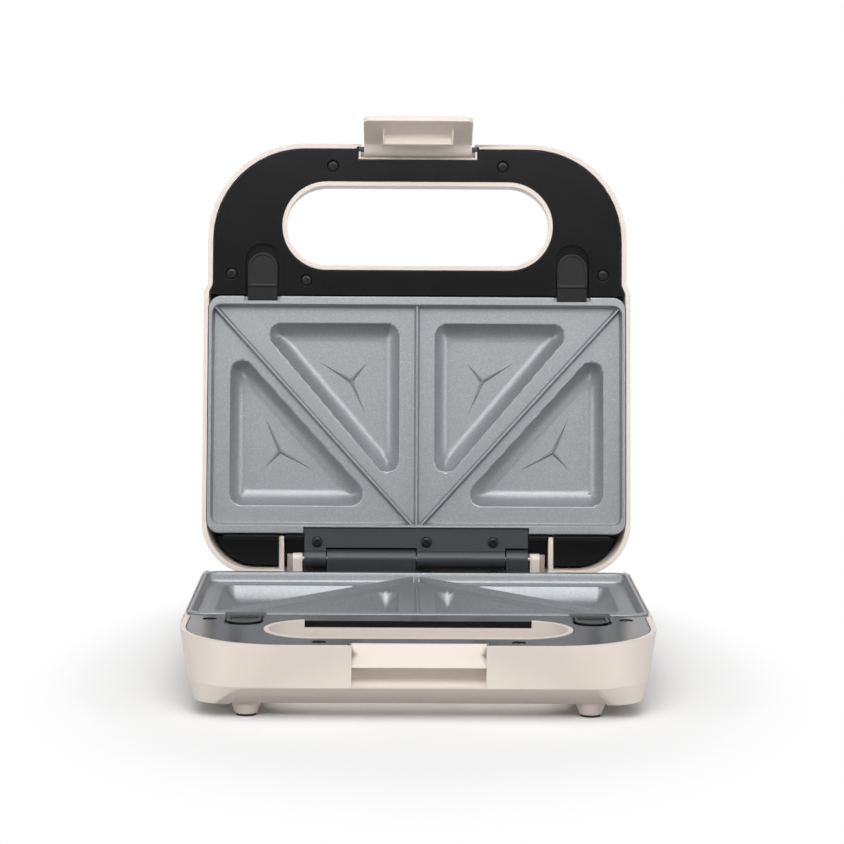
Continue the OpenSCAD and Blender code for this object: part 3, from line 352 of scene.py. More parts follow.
@dataclass(frozen=True)
class FleckedFinish(Finish):
    """A sprayed non-stick coating with bright flecks.

    Args:
        fleck: display colour of the flecks.
        density: share of grains that are bright.
        peel: scale of the coat's orange peel.
    """

    fleck: tuple[float, float, float] = (205, 208, 212)
    density: float = 0.3
    peel: float = 700.0

    def _texture(self, graph: Graph, shader: bpy.types.Node) -> None:
        """Adds the flecks, the handling marks and the orange peel.

        Args:
            graph: the material's graph.
            shader: its shader.
        """
        group = graph.add("ShaderNodeGroup", node_tree=EFFECTS.fleck)
        graph.feed(group, {"Scale": self.scale, "Density": self.density, "Peel": self.peel})
        mix = graph.add("ShaderNodeMix", data_type="RGBA")
        graph.feed(mix, {"A": linear(self.colour), "B": linear(self.fleck), "Factor": group.outputs["Mask"]})
        graph.feed(shader, {"Base Color": mix.outputs["Result"]})
        self._handled(graph, shader)
        self._relief(graph, shader, group.outputs["Height"])


@dataclass(frozen=True)
class PolishedFinish(Finish):
    """A smooth finish whose only texture is faint handling marks."""

    def _texture(self, graph: Graph, shader: bpy.types.Node) -> None:
        """Adds the handling marks to a material's shader."""
        self._handled(graph, shader)


class Palette:
    """All the finishes of the toaster."""

    shell = Finish("satin_beige", "shell_beige", (230, 219, 209), roughness=0.42, grain=0.000012, scale=1100,
                   spread=0.05, edge=0.0006)
    cover = PolishedFinish("gloss_black", "frame_black", (11, 11, 12), roughness=0.16, spread=0.05)
    clip = Finish("satin_black", "frame_black", (17, 17, 18), roughness=0.3, grain=0.000006, spread=0.05)
    plate = FleckedFinish("flecked_grey", "nonstick_plate", (158, 161, 164), roughness=0.42, metallic=0.7,
                          grain=0.000002, scale=3200, spread=0.06, fleck=(184, 187, 190), density=0.25)
    leaf = Finish("coated_steel", "hinge_steel", (72, 76, 79), roughness=0.42, metallic=0.6, grain=0.000008,
                  spread=0.08)
    zinc = PolishedFinish("zinc_steel", "plain_steel", (176, 177, 180), roughness=0.28, metallic=1.0,
                          spread=0.12)
    dark_screw = PolishedFinish("black_screw", "dark_screws", (46, 46, 48), roughness=0.3, metallic=0.8,
                                spread=0.1)
    element = PolishedFinish("tinted_tube", "heater_steel", (120, 112, 106), roughness=0.35, metallic=0.9,
                             spread=0.2)
    sheet = PolishedFinish("bright_sheet", "bright_sheet", (214, 216, 218), roughness=0.2, metallic=1.0,
                           spread=0.1)
    white = Finish("ivory_plastic", "white_plastic", (228, 224, 212), roughness=0.45)
    rubber = Finish("grey_rubber", "black_rubber", (44, 42, 40), roughness=0.75, grain=0.00003, scale=700)
    red = PolishedFinish("red_lens", "red_lens", (190, 28, 22), roughness=0.12, spread=0.04,
                         transmission=0.35)
    green = PolishedFinish("green_lens", "green_lens", (30, 150, 60), roughness=0.12, spread=0.04,
                           transmission=0.35)
    lamp = PolishedFinish("lamp_glass", "lamp_glass", (240, 214, 176), roughness=0.08, spread=0.03,
                          transmission=0.8)


# Meshes


def new_object(name: str, data: bpy.types.ID) -> bpy.types.Object:
    """Links a mesh, lamp or camera as an object at the origin.

    Args:
        name: the object's name.
        data: its data.

    Returns:
        The object.
    """
    obj = bpy.data.objects.new(name, data)
    bpy.context.scene.collection.objects.link(obj)
    return obj


def settle(obj: bpy.types.Object) -> bpy.types.Object:
    """Turns an object's modifiers into plain mesh.

    Args:
        obj: the object.

    Returns:
        The same object.
    """
    graph = bpy.context.evaluated_depsgraph_get()
    shown = obj.evaluated_get(graph)
    done = bpy.data.meshes.new_from_object(shown, preserve_all_data_layers=True, depsgraph=graph)
    old = obj.data
    obj.modifiers.clear()
    obj.data = done
    bpy.data.meshes.remove(old)
    return obj


def finished(obj: bpy.types.Object, finish: Finish, body: str,
             nodes: Iterable[str] = ()) -> bpy.types.Object:
    """Gives a piece its finish, its body and the nodes that it stands for.

    Args:
        obj: the piece.
        finish: its finish.
        body: the CAD body that it rides on.
        nodes: the CAD nodes that it replaces.

    Returns:
        The piece.
    """
    obj.data.materials.clear()
    obj.data.materials.append(finish.make())
    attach(obj, body)
    if nodes:
        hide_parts(*nodes)
    return obj


def weigh_edges(mesh: bpy.types.Mesh, width: float, angle: float) -> None:
    """Gives each sharp edge a bevel weight that its neighbours leave room for.

    Args:
        mesh: the mesh.
        width: full width of the rounding, in metres.
        angle: sharpest edge that is left alone, in degrees.
    """
    bm = bmesh.new()
    bm.from_mesh(mesh)
    layer = bm.edges.layers.float.new("bevel_weight_edge")
    for edge in bm.edges:
        if not edge.is_manifold or edge.calc_face_angle(0) < math.radians(angle):
            continue
        along = (edge.verts[1].co - edge.verts[0].co).normalized()
        room = math.inf
        for vert in edge.verts:
            for other in vert.link_edges:
                run = other.other_vert(vert).co - vert.co
                if other is not edge and abs(run.dot(along)) < 0.8 * run.length:
                    room = min(room, run.length)
        edge[layer] = min(1.0, 0.4 * room / width)
    bm.to_mesh(mesh)
    bm.free()


def soften(obj: bpy.types.Object, width: float, segments: int = 2, angle: float = 34.0,
           weight: int = 80) -> None:
    """Rounds a mesh's sharp edges and keeps its broad faces flat in the shading.

    Args:
        obj: the object.
        width: width of the rounding, in metres, or 0 to leave the edges to the finish.
        segments: segments of the rounding.
        angle: sharpest edge that is left alone, in degrees.
        weight: how far broad faces lead the shading.
    """
    obj.data.polygons.foreach_set("use_smooth", [True] * len(obj.data.polygons))
    if width > 0:
        weigh_edges(obj.data, width, angle)
        bevel = obj.modifiers.new("round", "BEVEL")
        bevel.width = width
        bevel.segments = segments
        bevel.limit_method = "WEIGHT"
        bevel.use_clamp_overlap = False
        bevel.miter_outer = "MITER_SHARP"
    else:
        obj.data.set_sharp_from_angle(angle=math.radians(angle))
    weigh = obj.modifiers.new("weigh", "WEIGHTED_NORMAL")
    weigh.keep_sharp = width <= 0
    weigh.weight = weight
    settle(obj)


def cad_copy(node: str, name: str, width: float, segments: int = 2) -> bpy.types.Object:
    """Copies a CAD node's mesh, merges it and rounds its edges.

    Args:
        node: the CAD node.
        name: the new piece's name.
        width: width of the rounding, in millimetres.
        segments: segments of the rounding.

    Returns:
        The piece.
    """
    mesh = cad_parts[node].data.copy()
    mesh.name = name
    bm = bmesh.new()
    bm.from_mesh(mesh)
    bmesh.ops.remove_doubles(bm, verts=bm.verts, dist=WELD)
    bmesh.ops.dissolve_limit(bm, angle_limit=math.radians(0.5), use_dissolve_boundaries=False,
                             verts=bm.verts, edges=bm.edges)
    bm.to_mesh(mesh)
    bm.free()
    for layer in list(mesh.uv_layers):
        mesh.uv_layers.remove(layer)
    obj = new_object(name, mesh)
    soften(obj, width * MM, segments)
    return obj


def mesh_from(name: str, verts: np.ndarray, faces: Sequence[Sequence[int]], matrix: Matrix,
              normals: Optional[np.ndarray] = None, smooth: bool = True) -> bpy.types.Object:
    """Builds a piece from points in drawing millimetres.

    Args:
        name: the piece's name.
        verts: the points.
        faces: the faces, anticlockwise from outside.
        matrix: the matrix that places them.
        normals: a normal for each face corner, if they are given.
        smooth: whether the faces are shaded smooth.

    Returns:
        The piece.
    """
    m = np.array(matrix)
    placed = verts @ m[:3, :3].T + m[:3, 3]
    flip = np.linalg.det(m[:3, :3]) < 0
    if flip:
        faces = [list(reversed(f)) for f in faces]
    mesh = bpy.data.meshes.new(name)
    mesh.from_pydata(placed.tolist(), [], [list(map(int, f)) for f in faces])
    mesh.polygons.foreach_set("use_smooth", [smooth] * len(mesh.polygons))
    if normals is not None:
        turned = normals @ (m[:3, :3] / abs(np.linalg.det(m[:3, :3])) ** (1 / 3)).T
        if flip:
            sizes = np.array([len(f) for f in faces])
            if not (sizes == sizes[0]).all():
                raise ValueError("mirrored normals need faces of one size")
            turned = turned.reshape(len(faces), sizes[0], 3)[:, ::-1].reshape(-1, 3)
        mesh.normals_split_custom_set(turned.tolist())
    mesh.update()
    return new_object(name, mesh)


# The grill plates


@dataclass
class GrillPlate:
    """A cast plate with a raised rim, three ridges and four triangular pockets, in drawing millimetres."""

    half: Half
    name: str
    node: str
    width: float = 225.0
    depth: float = 128.0
    corner: float = 7.0
    rim_z: float = -0.15
    rim: float = 5.0
    rim_front: float = 4.4
    rim_side: float = 1.8
    thick: float = 2.6
    ridge_h: float = 4.0
    pocket: float = 8.5
    pocket_r: float = 6.5
    run: float = 9.5
    front_pocket: tuple[tuple[float, float], ...] = ((-9.5, -113.9), (-87.65, -113.9), (-9.5, -22.1))
    rear_pocket: tuple[tuple[float, float], ...] = ((-100.8, -15.1), (-20.55, -15.1), (-100.8, -104.2))
    clip_x: float = 83.5
    clip_half: float = 10.0
    tongue: float = 2.6
    strip_half: float = 60.6
    strip_lap: float = 3.4
    pocket_floor: float = -3.55
    strip_floor: float = -4.05
    rim_slope: float = 1.5
    rim_curve: float = 0.8
    edge_round: float = 0.6
    wall_curve: float = 2.2
    lip: float = 0.8
    lip_curve: float = 0.5
    mark_rise: float = 1.3
    mark_half: float = 1.35

    def flat(self) -> float:
        """Returns the height of the plate's flat."""
        return self.rim_z - self.rim

    def pockets(self) -> list[np.ndarray]:
        """Returns the corners of the four pockets, the right-angled one first."""
        a, b = np.array(self.front_pocket), np.array(self.rear_pocket)
        flip = np.array([-1, 1])
        return [a, b, a * flip, b * flip]

    def _into_pocket(self, p: np.ndarray, x: np.ndarray, y: np.ndarray) -> np.ndarray:
        """Distance from a pocket's mouth, positive inside.

        Args:
            p: the pocket's corners.
            x: points' x.
            y: points' y.

        Returns:
            The distances.
        """
        centre = p.mean(0)
        planes = []
        for i in range(3):
            a, b = p[i], p[(i + 1) % 3]
            n = np.array([a[1] - b[1], b[0] - a[0]])
            n = n / np.linalg.norm(n)
            if n @ (centre - a) < 0:
                n = -n
            planes.append((n, n @ a))
        inner = [(n, c + self.pocket_r) for n, c in planes]
        corners = []
        for i in range(3):
            (n0, c0), (n1, c1) = inner[i], inner[(i + 1) % 3]
            corners.append(np.linalg.solve(np.array([n0, n1]), np.array([c0, c1])))
        sides = np.stack([n[0] * x + n[1] * y - c for n, c in inner])
        soft = 1.2
        inside = -soft * np.log(np.exp(-np.clip(sides, -60, 60) / soft).sum(0))
        away = np.full(x.shape, 1e9)
        for i in range(3):
            a, b = corners[i - 1], corners[i]
            v = b - a
            t = np.clip(((x - a[0]) * v[0] + (y - a[1]) * v[1]) / (v @ v), 0, 1)
            away = np.minimum(away, np.hypot(x - a[0] - t * v[0], y - a[1] - t * v[1]))
        is_in = sides.min(0) > 0
        return np.where(is_in, np.maximum(inside, 0), -away) + self.pocket_r

    @staticmethod
    def _rounded(x: np.ndarray, y: np.ndarray, w: float, y0: float, y1: float, r: float) -> np.ndarray:
        """Distance inside a rounded rectangle.

        Args:
            x: points' x.
            y: points' y.
            w: half width.
            y0: front edge.
            y1: rear edge.
            r: corner radius.

        Returns:
            The distances, positive inside.
        """
        cy, hy = (y0 + y1) / 2, (y1 - y0) / 2
        qx, qy = np.abs(x) - (w - r), np.abs(y - cy) - (hy - r)
        out = np.hypot(np.maximum(qx, 0), np.maximum(qy, 0)) + np.minimum(np.maximum(qx, qy), 0)
        return r - out

    def height(self, x: np.ndarray, y: np.ndarray) -> np.ndarray:
        """Height of the plate's upper face.

        Args:
            x: points' x.
            y: points' y.

        Returns:
            The heights.
        """
        side = self.width / 2 - self.rim_side
        tray = self._rounded(x, y, side, -self.depth + self.rim_front, -self.rim_front, self.corner - 2)
        edge = self._rounded(x, y, self.width / 2, -self.depth, 0, self.corner)
        t = np.clip(tray / self.rim_slope, 0, 1)
        z = self.rim_z - self.rim * (t * t * (3 - 2 * t)) ** self.rim_curve
        e = np.clip(1 - edge / self.edge_round, 0, 1)
        z = z - self.edge_round * (1 - np.sqrt(np.clip(1 - e * e, 0, 1)))
        for p in self.pockets():
            d = self._into_pocket(p, x, y)
            s = np.clip(d / self.run, 0, 1)
            wall = 1 - (1 - s) ** self.wall_curve
            lip = np.clip(d / self.lip, 0, 1)
            z = z - self.pocket * wall * (lip * lip * (3 - 2 * lip)) ** self.lip_curve
        front = (np.abs(np.abs(x) - self.clip_x) < self.clip_half) & (y < -self.depth + self.tongue)
        z = np.where(front, np.minimum(z, self.pocket_floor), z)
        rear = (np.abs(x) < self.strip_half) & (y > -self.strip_lap)
        return np.where(rear, np.minimum(z, self.strip_floor), z)

    def _lines(self) -> tuple[np.ndarray, np.ndarray]:
        """Returns the grid's x and y lines, close together at the rim and doubled at the notches."""
        w = self.width / 2
        step = 0.02
        xs, ys = set(), set()
        fine = 4.5
        for low, high, count in ((-w, -w + fine, 15), (-w + fine, w - fine, 232), (w - fine, w, 15)):
            xs |= set(np.round(np.linspace(low, high, count), 4))
        for s in (-1, 1):
            clip = s * self.clip_x
            for e in (clip - self.clip_half, clip + self.clip_half, s * self.strip_half):
                xs |= {round(e - step, 4), round(e + step, 4)}
        front, fine = -self.depth, 7
        for low, high, count in ((front, front + fine, 18), (front + fine, -fine, 122), (-fine, 0, 18)):
            ys |= set(np.round(np.linspace(low, high, count), 4))
        for e in (-self.depth + self.tongue, -self.strip_lap):
            ys |= {round(e - step, 4), round(e + step, 4)}
        return np.array(sorted(xs)), np.array(sorted(ys))

    def _grid(self) -> tuple[np.ndarray, np.ndarray]:
        """Returns the grid's points, bent round the rim's corners."""
        xs, ys = self._lines()
        x, y = np.meshgrid(xs, ys, indexing="ij")
        r, w = self.corner, self.width / 2
        for sx in (-1, 1):
            for y_mid, sy in ((-self.depth + r, -1), (-r, 1)):
                dx, dy = (x - sx * (w - r)) * sx, (y - y_mid) * sy
                here = (dx > 0) & (dy > 0)
                long = np.hypot(dx, dy)
                k = np.where(here, np.maximum(dx, dy) / np.where(long > 1e-9, long, 1), 1)
                x = np.where(here, sx * (w - r) + sx * dx * k, x)
                y = np.where(here, y_mid + sy * dy * k, y)
        return x, y

    def _casting(self) -> bpy.types.Object:
        """Returns the casting without its ridges."""
        x, y = self._grid()
        z = self.height(x, y)
        nx, ny = x.shape
        eps = 0.008
        gx = (self.height(x + eps, y) - self.height(x - eps, y)) / (2 * eps)
        gy = (self.height(x, y + eps) - self.height(x, y - eps)) / (2 * eps)
        up = np.stack([-gx, -gy, np.ones_like(gx)], -1)
        up /= np.linalg.norm(up, axis=-1, keepdims=True)
        low_z = np.minimum(self.flat() - self.thick, z - self.thick + 0.4)
        top = np.stack([x, y, z], -1).reshape(-1, 3)
        low = np.stack([x, y, low_z], -1).reshape(-1, 3)
        ids = np.arange(nx * ny).reshape(nx, ny)
        quads = np.stack([ids[:-1, :-1], ids[1:, :-1], ids[1:, 1:], ids[:-1, 1:]], -1).reshape(-1, 4)
        below = quads[:, ::-1] + nx * ny
        ring = np.concatenate([ids[:, 0], ids[-1, 1:], ids[-2::-1, -1], ids[0, -2:0:-1]])
        after = np.roll(ring, -1)
        skirt = np.stack([ring, ring + nx * ny, after + nx * ny, after], -1)
        verts = np.concatenate([top, low])
        faces = np.concatenate([quads, below, skirt])
        corners = verts[faces]
        flat_n = np.cross(corners[:, 2] - corners[:, 0], corners[:, 3] - corners[:, 1])
        size = np.linalg.norm(flat_n, axis=1, keepdims=True)
        flat_n = np.where(size > 1e-12, flat_n / np.maximum(size, 1e-12), np.array([0, 0, 1.0]))
        loops = np.repeat(flat_n[:, None], 4, 1)
        count = len(quads)
        smooth = up.reshape(-1, 3)[quads]
        steep = (np.abs(flat_n[:count, 2]) < 0.25)[:, None, None]
        agree = (smooth * flat_n[:count, None]).sum(-1, keepdims=True) > 0.3
        loops[:count] = np.where(steep & ~agree, loops[:count], smooth)
        return mesh_from(self.name, verts, faces.tolist(), PLACE.of(self.half), loops.reshape(-1, 3))

    def _ridges(self) -> bpy.types.Object:
        """Returns the three ridges as one piece."""
        side = self.width / 2 - self.rim_side
        front, rear = -self.depth + self.rim_front, -self.rim_front
        runs = [((0, front - 1.2), (0, rear + 1.2))]
        runs += [((s, rear + 1.2), (s * (side - 0.6), front + 0.4)) for s in (-1, 1)]
        across = np.array([-1.9, -1.35, -0.95, -0.72, -0.5, -0.2, 0.2, 0.5, 0.72, 0.95, 1.35, 1.9])
        rise = np.array([-0.25, 0.15, 0.95, 2.2, 2.85, 3.1, 3.1, 2.85, 2.2, 0.95, 0.15, -0.25])
        verts, faces = [], []
        for a, b in runs:
            a, b = np.array(a, float), np.array(b, float)
            d = (b - a) / np.linalg.norm(b - a)
            n = np.array([-d[1], d[0]])
            start = len(verts)
            for end in (a, b):
                for u, h in zip(across, rise):
                    verts.append([*(end + n * u), self.flat() + h])
            k = len(across)
            faces += [[start + i, start + k + i, start + k + i + 1, start + i + 1] for i in range(k - 1)]
            faces.append([start + i for i in range(k)])
            faces.append([start + k + i for i in reversed(range(k))])
            faces.append([start + k - 1, start + 2 * k - 1, start + k, start])
        return mesh_from(self.name + "_ridges", np.array(verts), faces, PLACE.of(self.half))

    def _marks(self) -> bpy.types.Object:
        """Returns the three-armed marks on the pockets' floors as one piece."""
        floor = self.flat() - self.pocket
        verts, faces = [], []
        for p in self.pockets():
            c = p.mean(0)
            arms = [(q - c) / np.linalg.norm(q - c) for q in p]
            order = [0, 1, 2] if np.cross(arms[0], arms[1]) > 0 else [0, 2, 1]
            lengths = {0: 13.0, 1: 20.0, 2: 20.0}
            start = len(verts)
            verts.append([*c, floor + self.mark_rise])
            for n, i in enumerate(order):
                j = order[(n + 1) % 3]
                gap = arms[i] + arms[j]
                gap = gap / np.linalg.norm(gap) * self.mark_half
                verts.append([*(c + arms[i] * lengths[i]), floor + 0.1])
                verts.append([*(c + gap), floor - 0.05])
            for k in range(6):
                faces.append([start, start + 1 + k, start + 1 + (k + 1) % 6])
            faces.append([start + 1 + k for k in reversed(range(6))])
        return mesh_from(self.name + "_marks", np.array(verts), faces, PLACE.of(self.half), smooth=False)

    def build(self) -> list[bpy.types.Object]:
        """Builds and dresses the plate.

        Returns:
            Its pieces.
        """
        casting = finished(self._casting(), Palette.plate, self.half.value, [self.node])
        ridges = self._ridges()
        soften(ridges, 0.0, angle=60.0)
        return [casting, finished(ridges, Palette.plate, self.half.value),
                finished(self._marks(), Palette.plate, self.half.value)]


# Shells, covers, clips


@dataclass
class RoundedPieces:
    """CAD pieces that keep their shape and only get their edges rounded.

    Args:
        nodes: node, body, finish and width of the rounding in millimetres.
    """

    nodes: list[tuple[str, str, Finish, float]] = field(default_factory=lambda: [
        ("base_shell", "base", Palette.shell, 0.0),
        ("lid_shell", "lid", Palette.shell, 0.0),
        ("lower_frame", "base", Palette.cover, 0.25),
        ("upper_frame", "lid", Palette.cover, 0.25),
        ("latch", "latch", Palette.shell, 0.45),
        *((clip, clip, Palette.clip, 0.3) for clip in CLIPS),
        ("lower_hinge_leaf", "base", Palette.leaf, 0.15),
        ("upper_hinge_leaf", "lid", Palette.leaf, 0.15),
        ("hinge_pin", "base", Palette.zinc, 0.3),
        ("latch_pin", "lid", Palette.leaf, 0.2),
        ("cord_grommet", "base", Palette.rubber, 0.3),
        ("foot_pads", "base", Palette.rubber, 0.25),
        ("power_lens", "lid", Palette.red, 0.3),
        ("ready_lens", "lid", Palette.green, 0.3),
    ])

    def build(self) -> list[bpy.types.Object]:
        """Builds and dresses the pieces, and returns them."""
        return [finished(cad_copy(node, node + "_finished", width), finish, body, [node])
                for node, body, finish, width in self.nodes]


@dataclass
class InnerParts:
    """CAD nodes inside the shells, which keep their meshes and get their finishes."""

    finishes: dict[str, Finish] = field(default_factory=lambda: {
        "lower_heater": Palette.element, "upper_heater": Palette.element,
        "lower_reflector": Palette.sheet, "upper_reflector": Palette.sheet,
        "thermostat": Palette.zinc, "thermal_fuse": Palette.zinc,
        "terminal_block": Palette.white, "lamp_holder": Palette.white,
        "indicator_lamps": Palette.lamp,
    })

    def dress(self) -> int:
        """Gives each node its material.

        Returns:
            How many nodes were dressed.
        """
        for node, finish in self.finishes.items():
            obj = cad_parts[node]
            obj.data.materials.clear()
            obj.data.materials.append(finish.make())
        return len(self.finishes)


@dataclass
class CoilSprings:
    """The coil springs behind the slide clips, built at one length; the real ones shorten as a clip is
    pressed.

    Args:
        wire: radius of the wire, in drawing millimetres.
        turns: turns of a coil.
        travel: how far a clip is pressed, in drawing millimetres; not used.
        steps_a_turn: rings of the wire's mesh in one turn.
    """

    wire: float = 0.28
    turns: float = 7.0
    travel: float = 4.0
    steps_a_turn: int = 28

    def _coil(self, half: Half, side: str) -> bpy.types.Object:
        """Builds and dresses one spring.

        Args:
            half: the half that it sits in.
            side: left or right.

        Returns:
            The spring.
        """
        level = "lower" if half is Half.BASE else "upper"
        to_drawing = PLACE.base().inverted()
        low, high = (to_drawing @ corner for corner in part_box(f"lower_spring_{side}"))
        middle = (low + high) / 2
        radius, long = (high.x - low.x) / 2 - self.wire, high.y - low.y
        around = 8
        verts, faces = [], []
        steps = int(self.turns * self.steps_a_turn)
        for k in range(steps + 1):
            turn = 2 * math.pi * self.turns * k / steps
            out = Vector((math.cos(turn), 0, math.sin(turn)))
            along = Vector((-math.sin(turn), (long - 2 * self.wire) / (2 * math.pi * self.turns * radius),
                            math.cos(turn))).normalized()
            side_way = along.cross(out)
            centre = Vector((middle.x, low.y + self.wire + (long - 2 * self.wire) * k / steps, middle.z))
            for j in range(around):
                a = 2 * math.pi * j / around
                verts.append(centre + out * radius + (out * math.cos(a) + side_way * math.sin(a)) * self.wire)
            if k:
                here, last = k * around, (k - 1) * around
                faces += [[last + j, last + (j + 1) % around, here + (j + 1) % around, here + j]
                          for j in range(around)]
        faces.append(list(reversed(range(around))))
        faces.append([steps * around + j for j in range(around)])
        matrix = PLACE.of(half)
        obj = mesh_from(f"{level}_coil_{side}", np.array(verts), faces, matrix)
        finished(obj, Palette.zinc, half.value, [f"{level}_spring_{side}"])
        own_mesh(obj)
        return obj

    def build(self) -> list[bpy.types.Object]:
        """Builds the four springs and returns them."""
        return [self._coil(half, side) for half in Half for side in ("left", "right")]


# Screws


@dataclass
class ScrewSet:
    """Pan head screws placed on points by a Geometry Nodes tree.

    Args:
        name: the piece's name.
        node: the CAD node that it replaces.
        body: the body that it rides on.
        half: the half that it is drawn for.
        finish: its finish.
        points: x, y and seat height of each screw, in drawing millimetres.
        head_r: radius of a head.
        head_h: height of a head.
        shank: length of a shank.
        seed: seed of the heads' turns.
    """

    name: str
    node: str
    body: str
    half: Half
    finish: Finish
    points: list[tuple[float, float, float]]
    head_r: float = 3.0
    head_h: float = 1.2
    shank: float = 10.0
    seed: int = 3

    def _head(self) -> bpy.types.Object:
        """Returns one screw of unit size: a domed head with a cross recess, on a shank."""
        bm = bmesh.new()
        r, h = self.head_r, self.head_h
        profile = [(0.0, h), (r * 0.35, h), (r * 0.7, h * 0.93), (r * 0.9, h * 0.72), (r, h * 0.35), (r, 0.0),
                   (1.4, 0.0), (1.4, -self.shank + 1), (0.4, -self.shank), (0.0, -self.shank)]
        turns = 32
        rings = []
        for radius, z in profile:
            if radius == 0:
                rings.append([bm.verts.new((0, 0, z))])
            else:
                angles = [2 * math.pi * k / turns for k in range(turns)]
                rings.append([bm.verts.new((radius * math.cos(a), radius * math.sin(a), z)) for a in angles])
        for a, b in zip(rings, rings[1:]):
            for k in range(turns):
                j = (k + 1) % turns
                if len(a) == 1:
                    bm.faces.new((a[0], b[k], b[j]))
                elif len(b) == 1:
                    bm.faces.new((a[k], b[0], a[j]))
                else:
                    bm.faces.new((a[k], b[k], b[j], a[j]))
        mesh = bpy.data.meshes.new(self.name + "_head")
        bmesh.ops.recalc_face_normals(bm, faces=bm.faces)
        bm.to_mesh(mesh)
        bm.free()
        head = new_object(self.name + "_head", mesh)
        cutter = self._cross()
        cut = head.modifiers.new("cross", "BOOLEAN")
        cut.operation, cut.solver, cut.object = "DIFFERENCE", "EXACT", cutter
        settle(head)
        bpy.data.objects.remove(cutter)
        return head

    def _cross(self) -> bpy.types.Object:
        """Returns the cutter of the cross recess, which narrows downwards."""
        wide, slim = self.head_r * 0.58, self.head_r * 0.13
        outline = [(slim, slim), (slim, wide), (-slim, wide), (-slim, slim), (-wide, slim), (-wide, -slim),
                   (-slim, -slim), (-slim, -wide), (slim, -wide), (slim, -slim), (wide, -slim), (wide, slim)]
        top, low = self.head_h + 0.4, self.head_h - 0.7
        verts = [(x, y, top) for x, y in outline] + [(x * 0.7, y * 0.7, low) for x, y in outline]
        count = len(outline)
        faces = [list(range(count)), [count + k for k in reversed(range(count))]]
        faces += [[k, count + k, count + (k + 1) % count, (k + 1) % count] for k in range(count)]
        mesh = bpy.data.meshes.new(self.name + "_cross")
        mesh.from_pydata(verts, [], faces)
        mesh.update()
        return new_object(self.name + "_cross", mesh)

    def _tree(self) -> bpy.types.NodeTree:
        """Returns the tree that puts a screw on every point with a turn of its own."""
        tree = bpy.data.node_groups.new(self.name + "_placer", "GeometryNodeTree")
        sockets = (("Points", "Geometry"), ("Screw", "Object"), ("Size", "Float"), ("Spin", "Float"),
                   ("Seed", "Int"), ("Material", "Material"))
        for key, kind in sockets:
            tree.interface.new_socket(key, in_out="INPUT", socket_type="NodeSocket" + kind)
        tree.interface.new_socket("Geometry", in_out="OUTPUT", socket_type="NodeSocketGeometry")
        graph = Graph(tree)
        give = graph.add("NodeGroupInput").outputs
        info = graph.add("GeometryNodeObjectInfo", {"Object": give["Screw"]})
        turn = graph.add("FunctionNodeRandomValue", {3: give["Spin"], "Seed": give["Seed"]},
                         data_type="FLOAT")
        join = graph.add("ShaderNodeCombineXYZ", {"Z": turn.outputs[1]})
        scale = graph.add("ShaderNodeCombineXYZ", {axis: give["Size"] for axis in "XYZ"})
        to_points = graph.add("GeometryNodeMeshToPoints", {"Mesh": give["Points"]})
        spread = graph.add("GeometryNodeInstanceOnPoints", {
            "Points": to_points.outputs[0], "Instance": info.outputs["Geometry"],
            "Rotation": join.outputs[0], "Scale": scale.outputs[0],
        })
        real = graph.add("GeometryNodeRealizeInstances", {0: spread.outputs[0]})
        paint = graph.add("GeometryNodeSetMaterial",
                          {"Geometry": real.outputs[0], "Material": give["Material"]})
        graph.add("NodeGroupOutput", {0: paint.outputs[0]})
        return tree

    def build(self) -> bpy.types.Object:
        """Builds and dresses the screws.

        Returns:
            The piece.
        """
        head = self._head()
        mesh = bpy.data.meshes.new(self.name)
        mesh.from_pydata([list(p) for p in self.points], [], [])
        obj = new_object(self.name, mesh)
        tree = self._tree()
        modifier = obj.modifiers.new("screws", "NODES")
        modifier.node_group = tree
        ids = {s.name: s.identifier for s in tree.interface.items_tree if s.in_out == "INPUT"}
        modifier[ids["Screw"]] = head
        modifier[ids["Size"]] = 1.0
        modifier[ids["Spin"]] = 1.5
        modifier[ids["Seed"]] = self.seed
        modifier[ids["Material"]] = self.finish.make()
        obj.update_tag()
        bpy.context.view_layer.update()
        settle(obj)
        bpy.data.objects.remove(head)
        matrix = PLACE.of(self.half)
        obj.data.transform(matrix)
        if matrix.determinant() < 0:
            obj.data.flip_normals()
        soften(obj, 0.0, angle=40.0, weight=50)
        return finished(obj, self.finish, self.body, [self.node])


class Screws:
    """All the visible screws."""

    PAIR = [(-100.3, -140.2), (100.3, -140.2), (-46.0, -199.0), (46.0, -199.0)]
    STRIP = [(-53.2, 4.4), (5.5, 4.4), (41.3, 4.4)]
    SEAT = -2.3
    STRIP_SEAT = -1.75
    SMALL = {"head_r": 2.9, "head_h": 1.3, "shank": 9.5}

    def build(self) -> list[bpy.types.Object]:
        """Builds the four sets.

        Returns:
            The pieces.
        """
        low = [(x, y, self.SEAT) for x, y in self.PAIR]
        high = low + [(-60.0, -136.7, self.SEAT)]
        strip = [(x, y, self.STRIP_SEAT) for x, y in self.STRIP]
        rows = (
            ("base_cover_screws", "base_frame_screws", Half.BASE, low, {"seed": 5}),
            ("lid_cover_screws", "lid_frame_screws", Half.LID, high, {"seed": 11}),
            ("base_strip_screws", "lower_hinge_screws", Half.BASE, strip, {"seed": 2, **self.SMALL}),
            ("lid_strip_screws", "upper_hinge_screws", Half.LID, strip, {"seed": 7, **self.SMALL}),
        )
        return [ScrewSet(name, node, half.value, half, Palette.dark_screw, points, **more).build()
                for name, node, half, points, more in rows]


# Studio


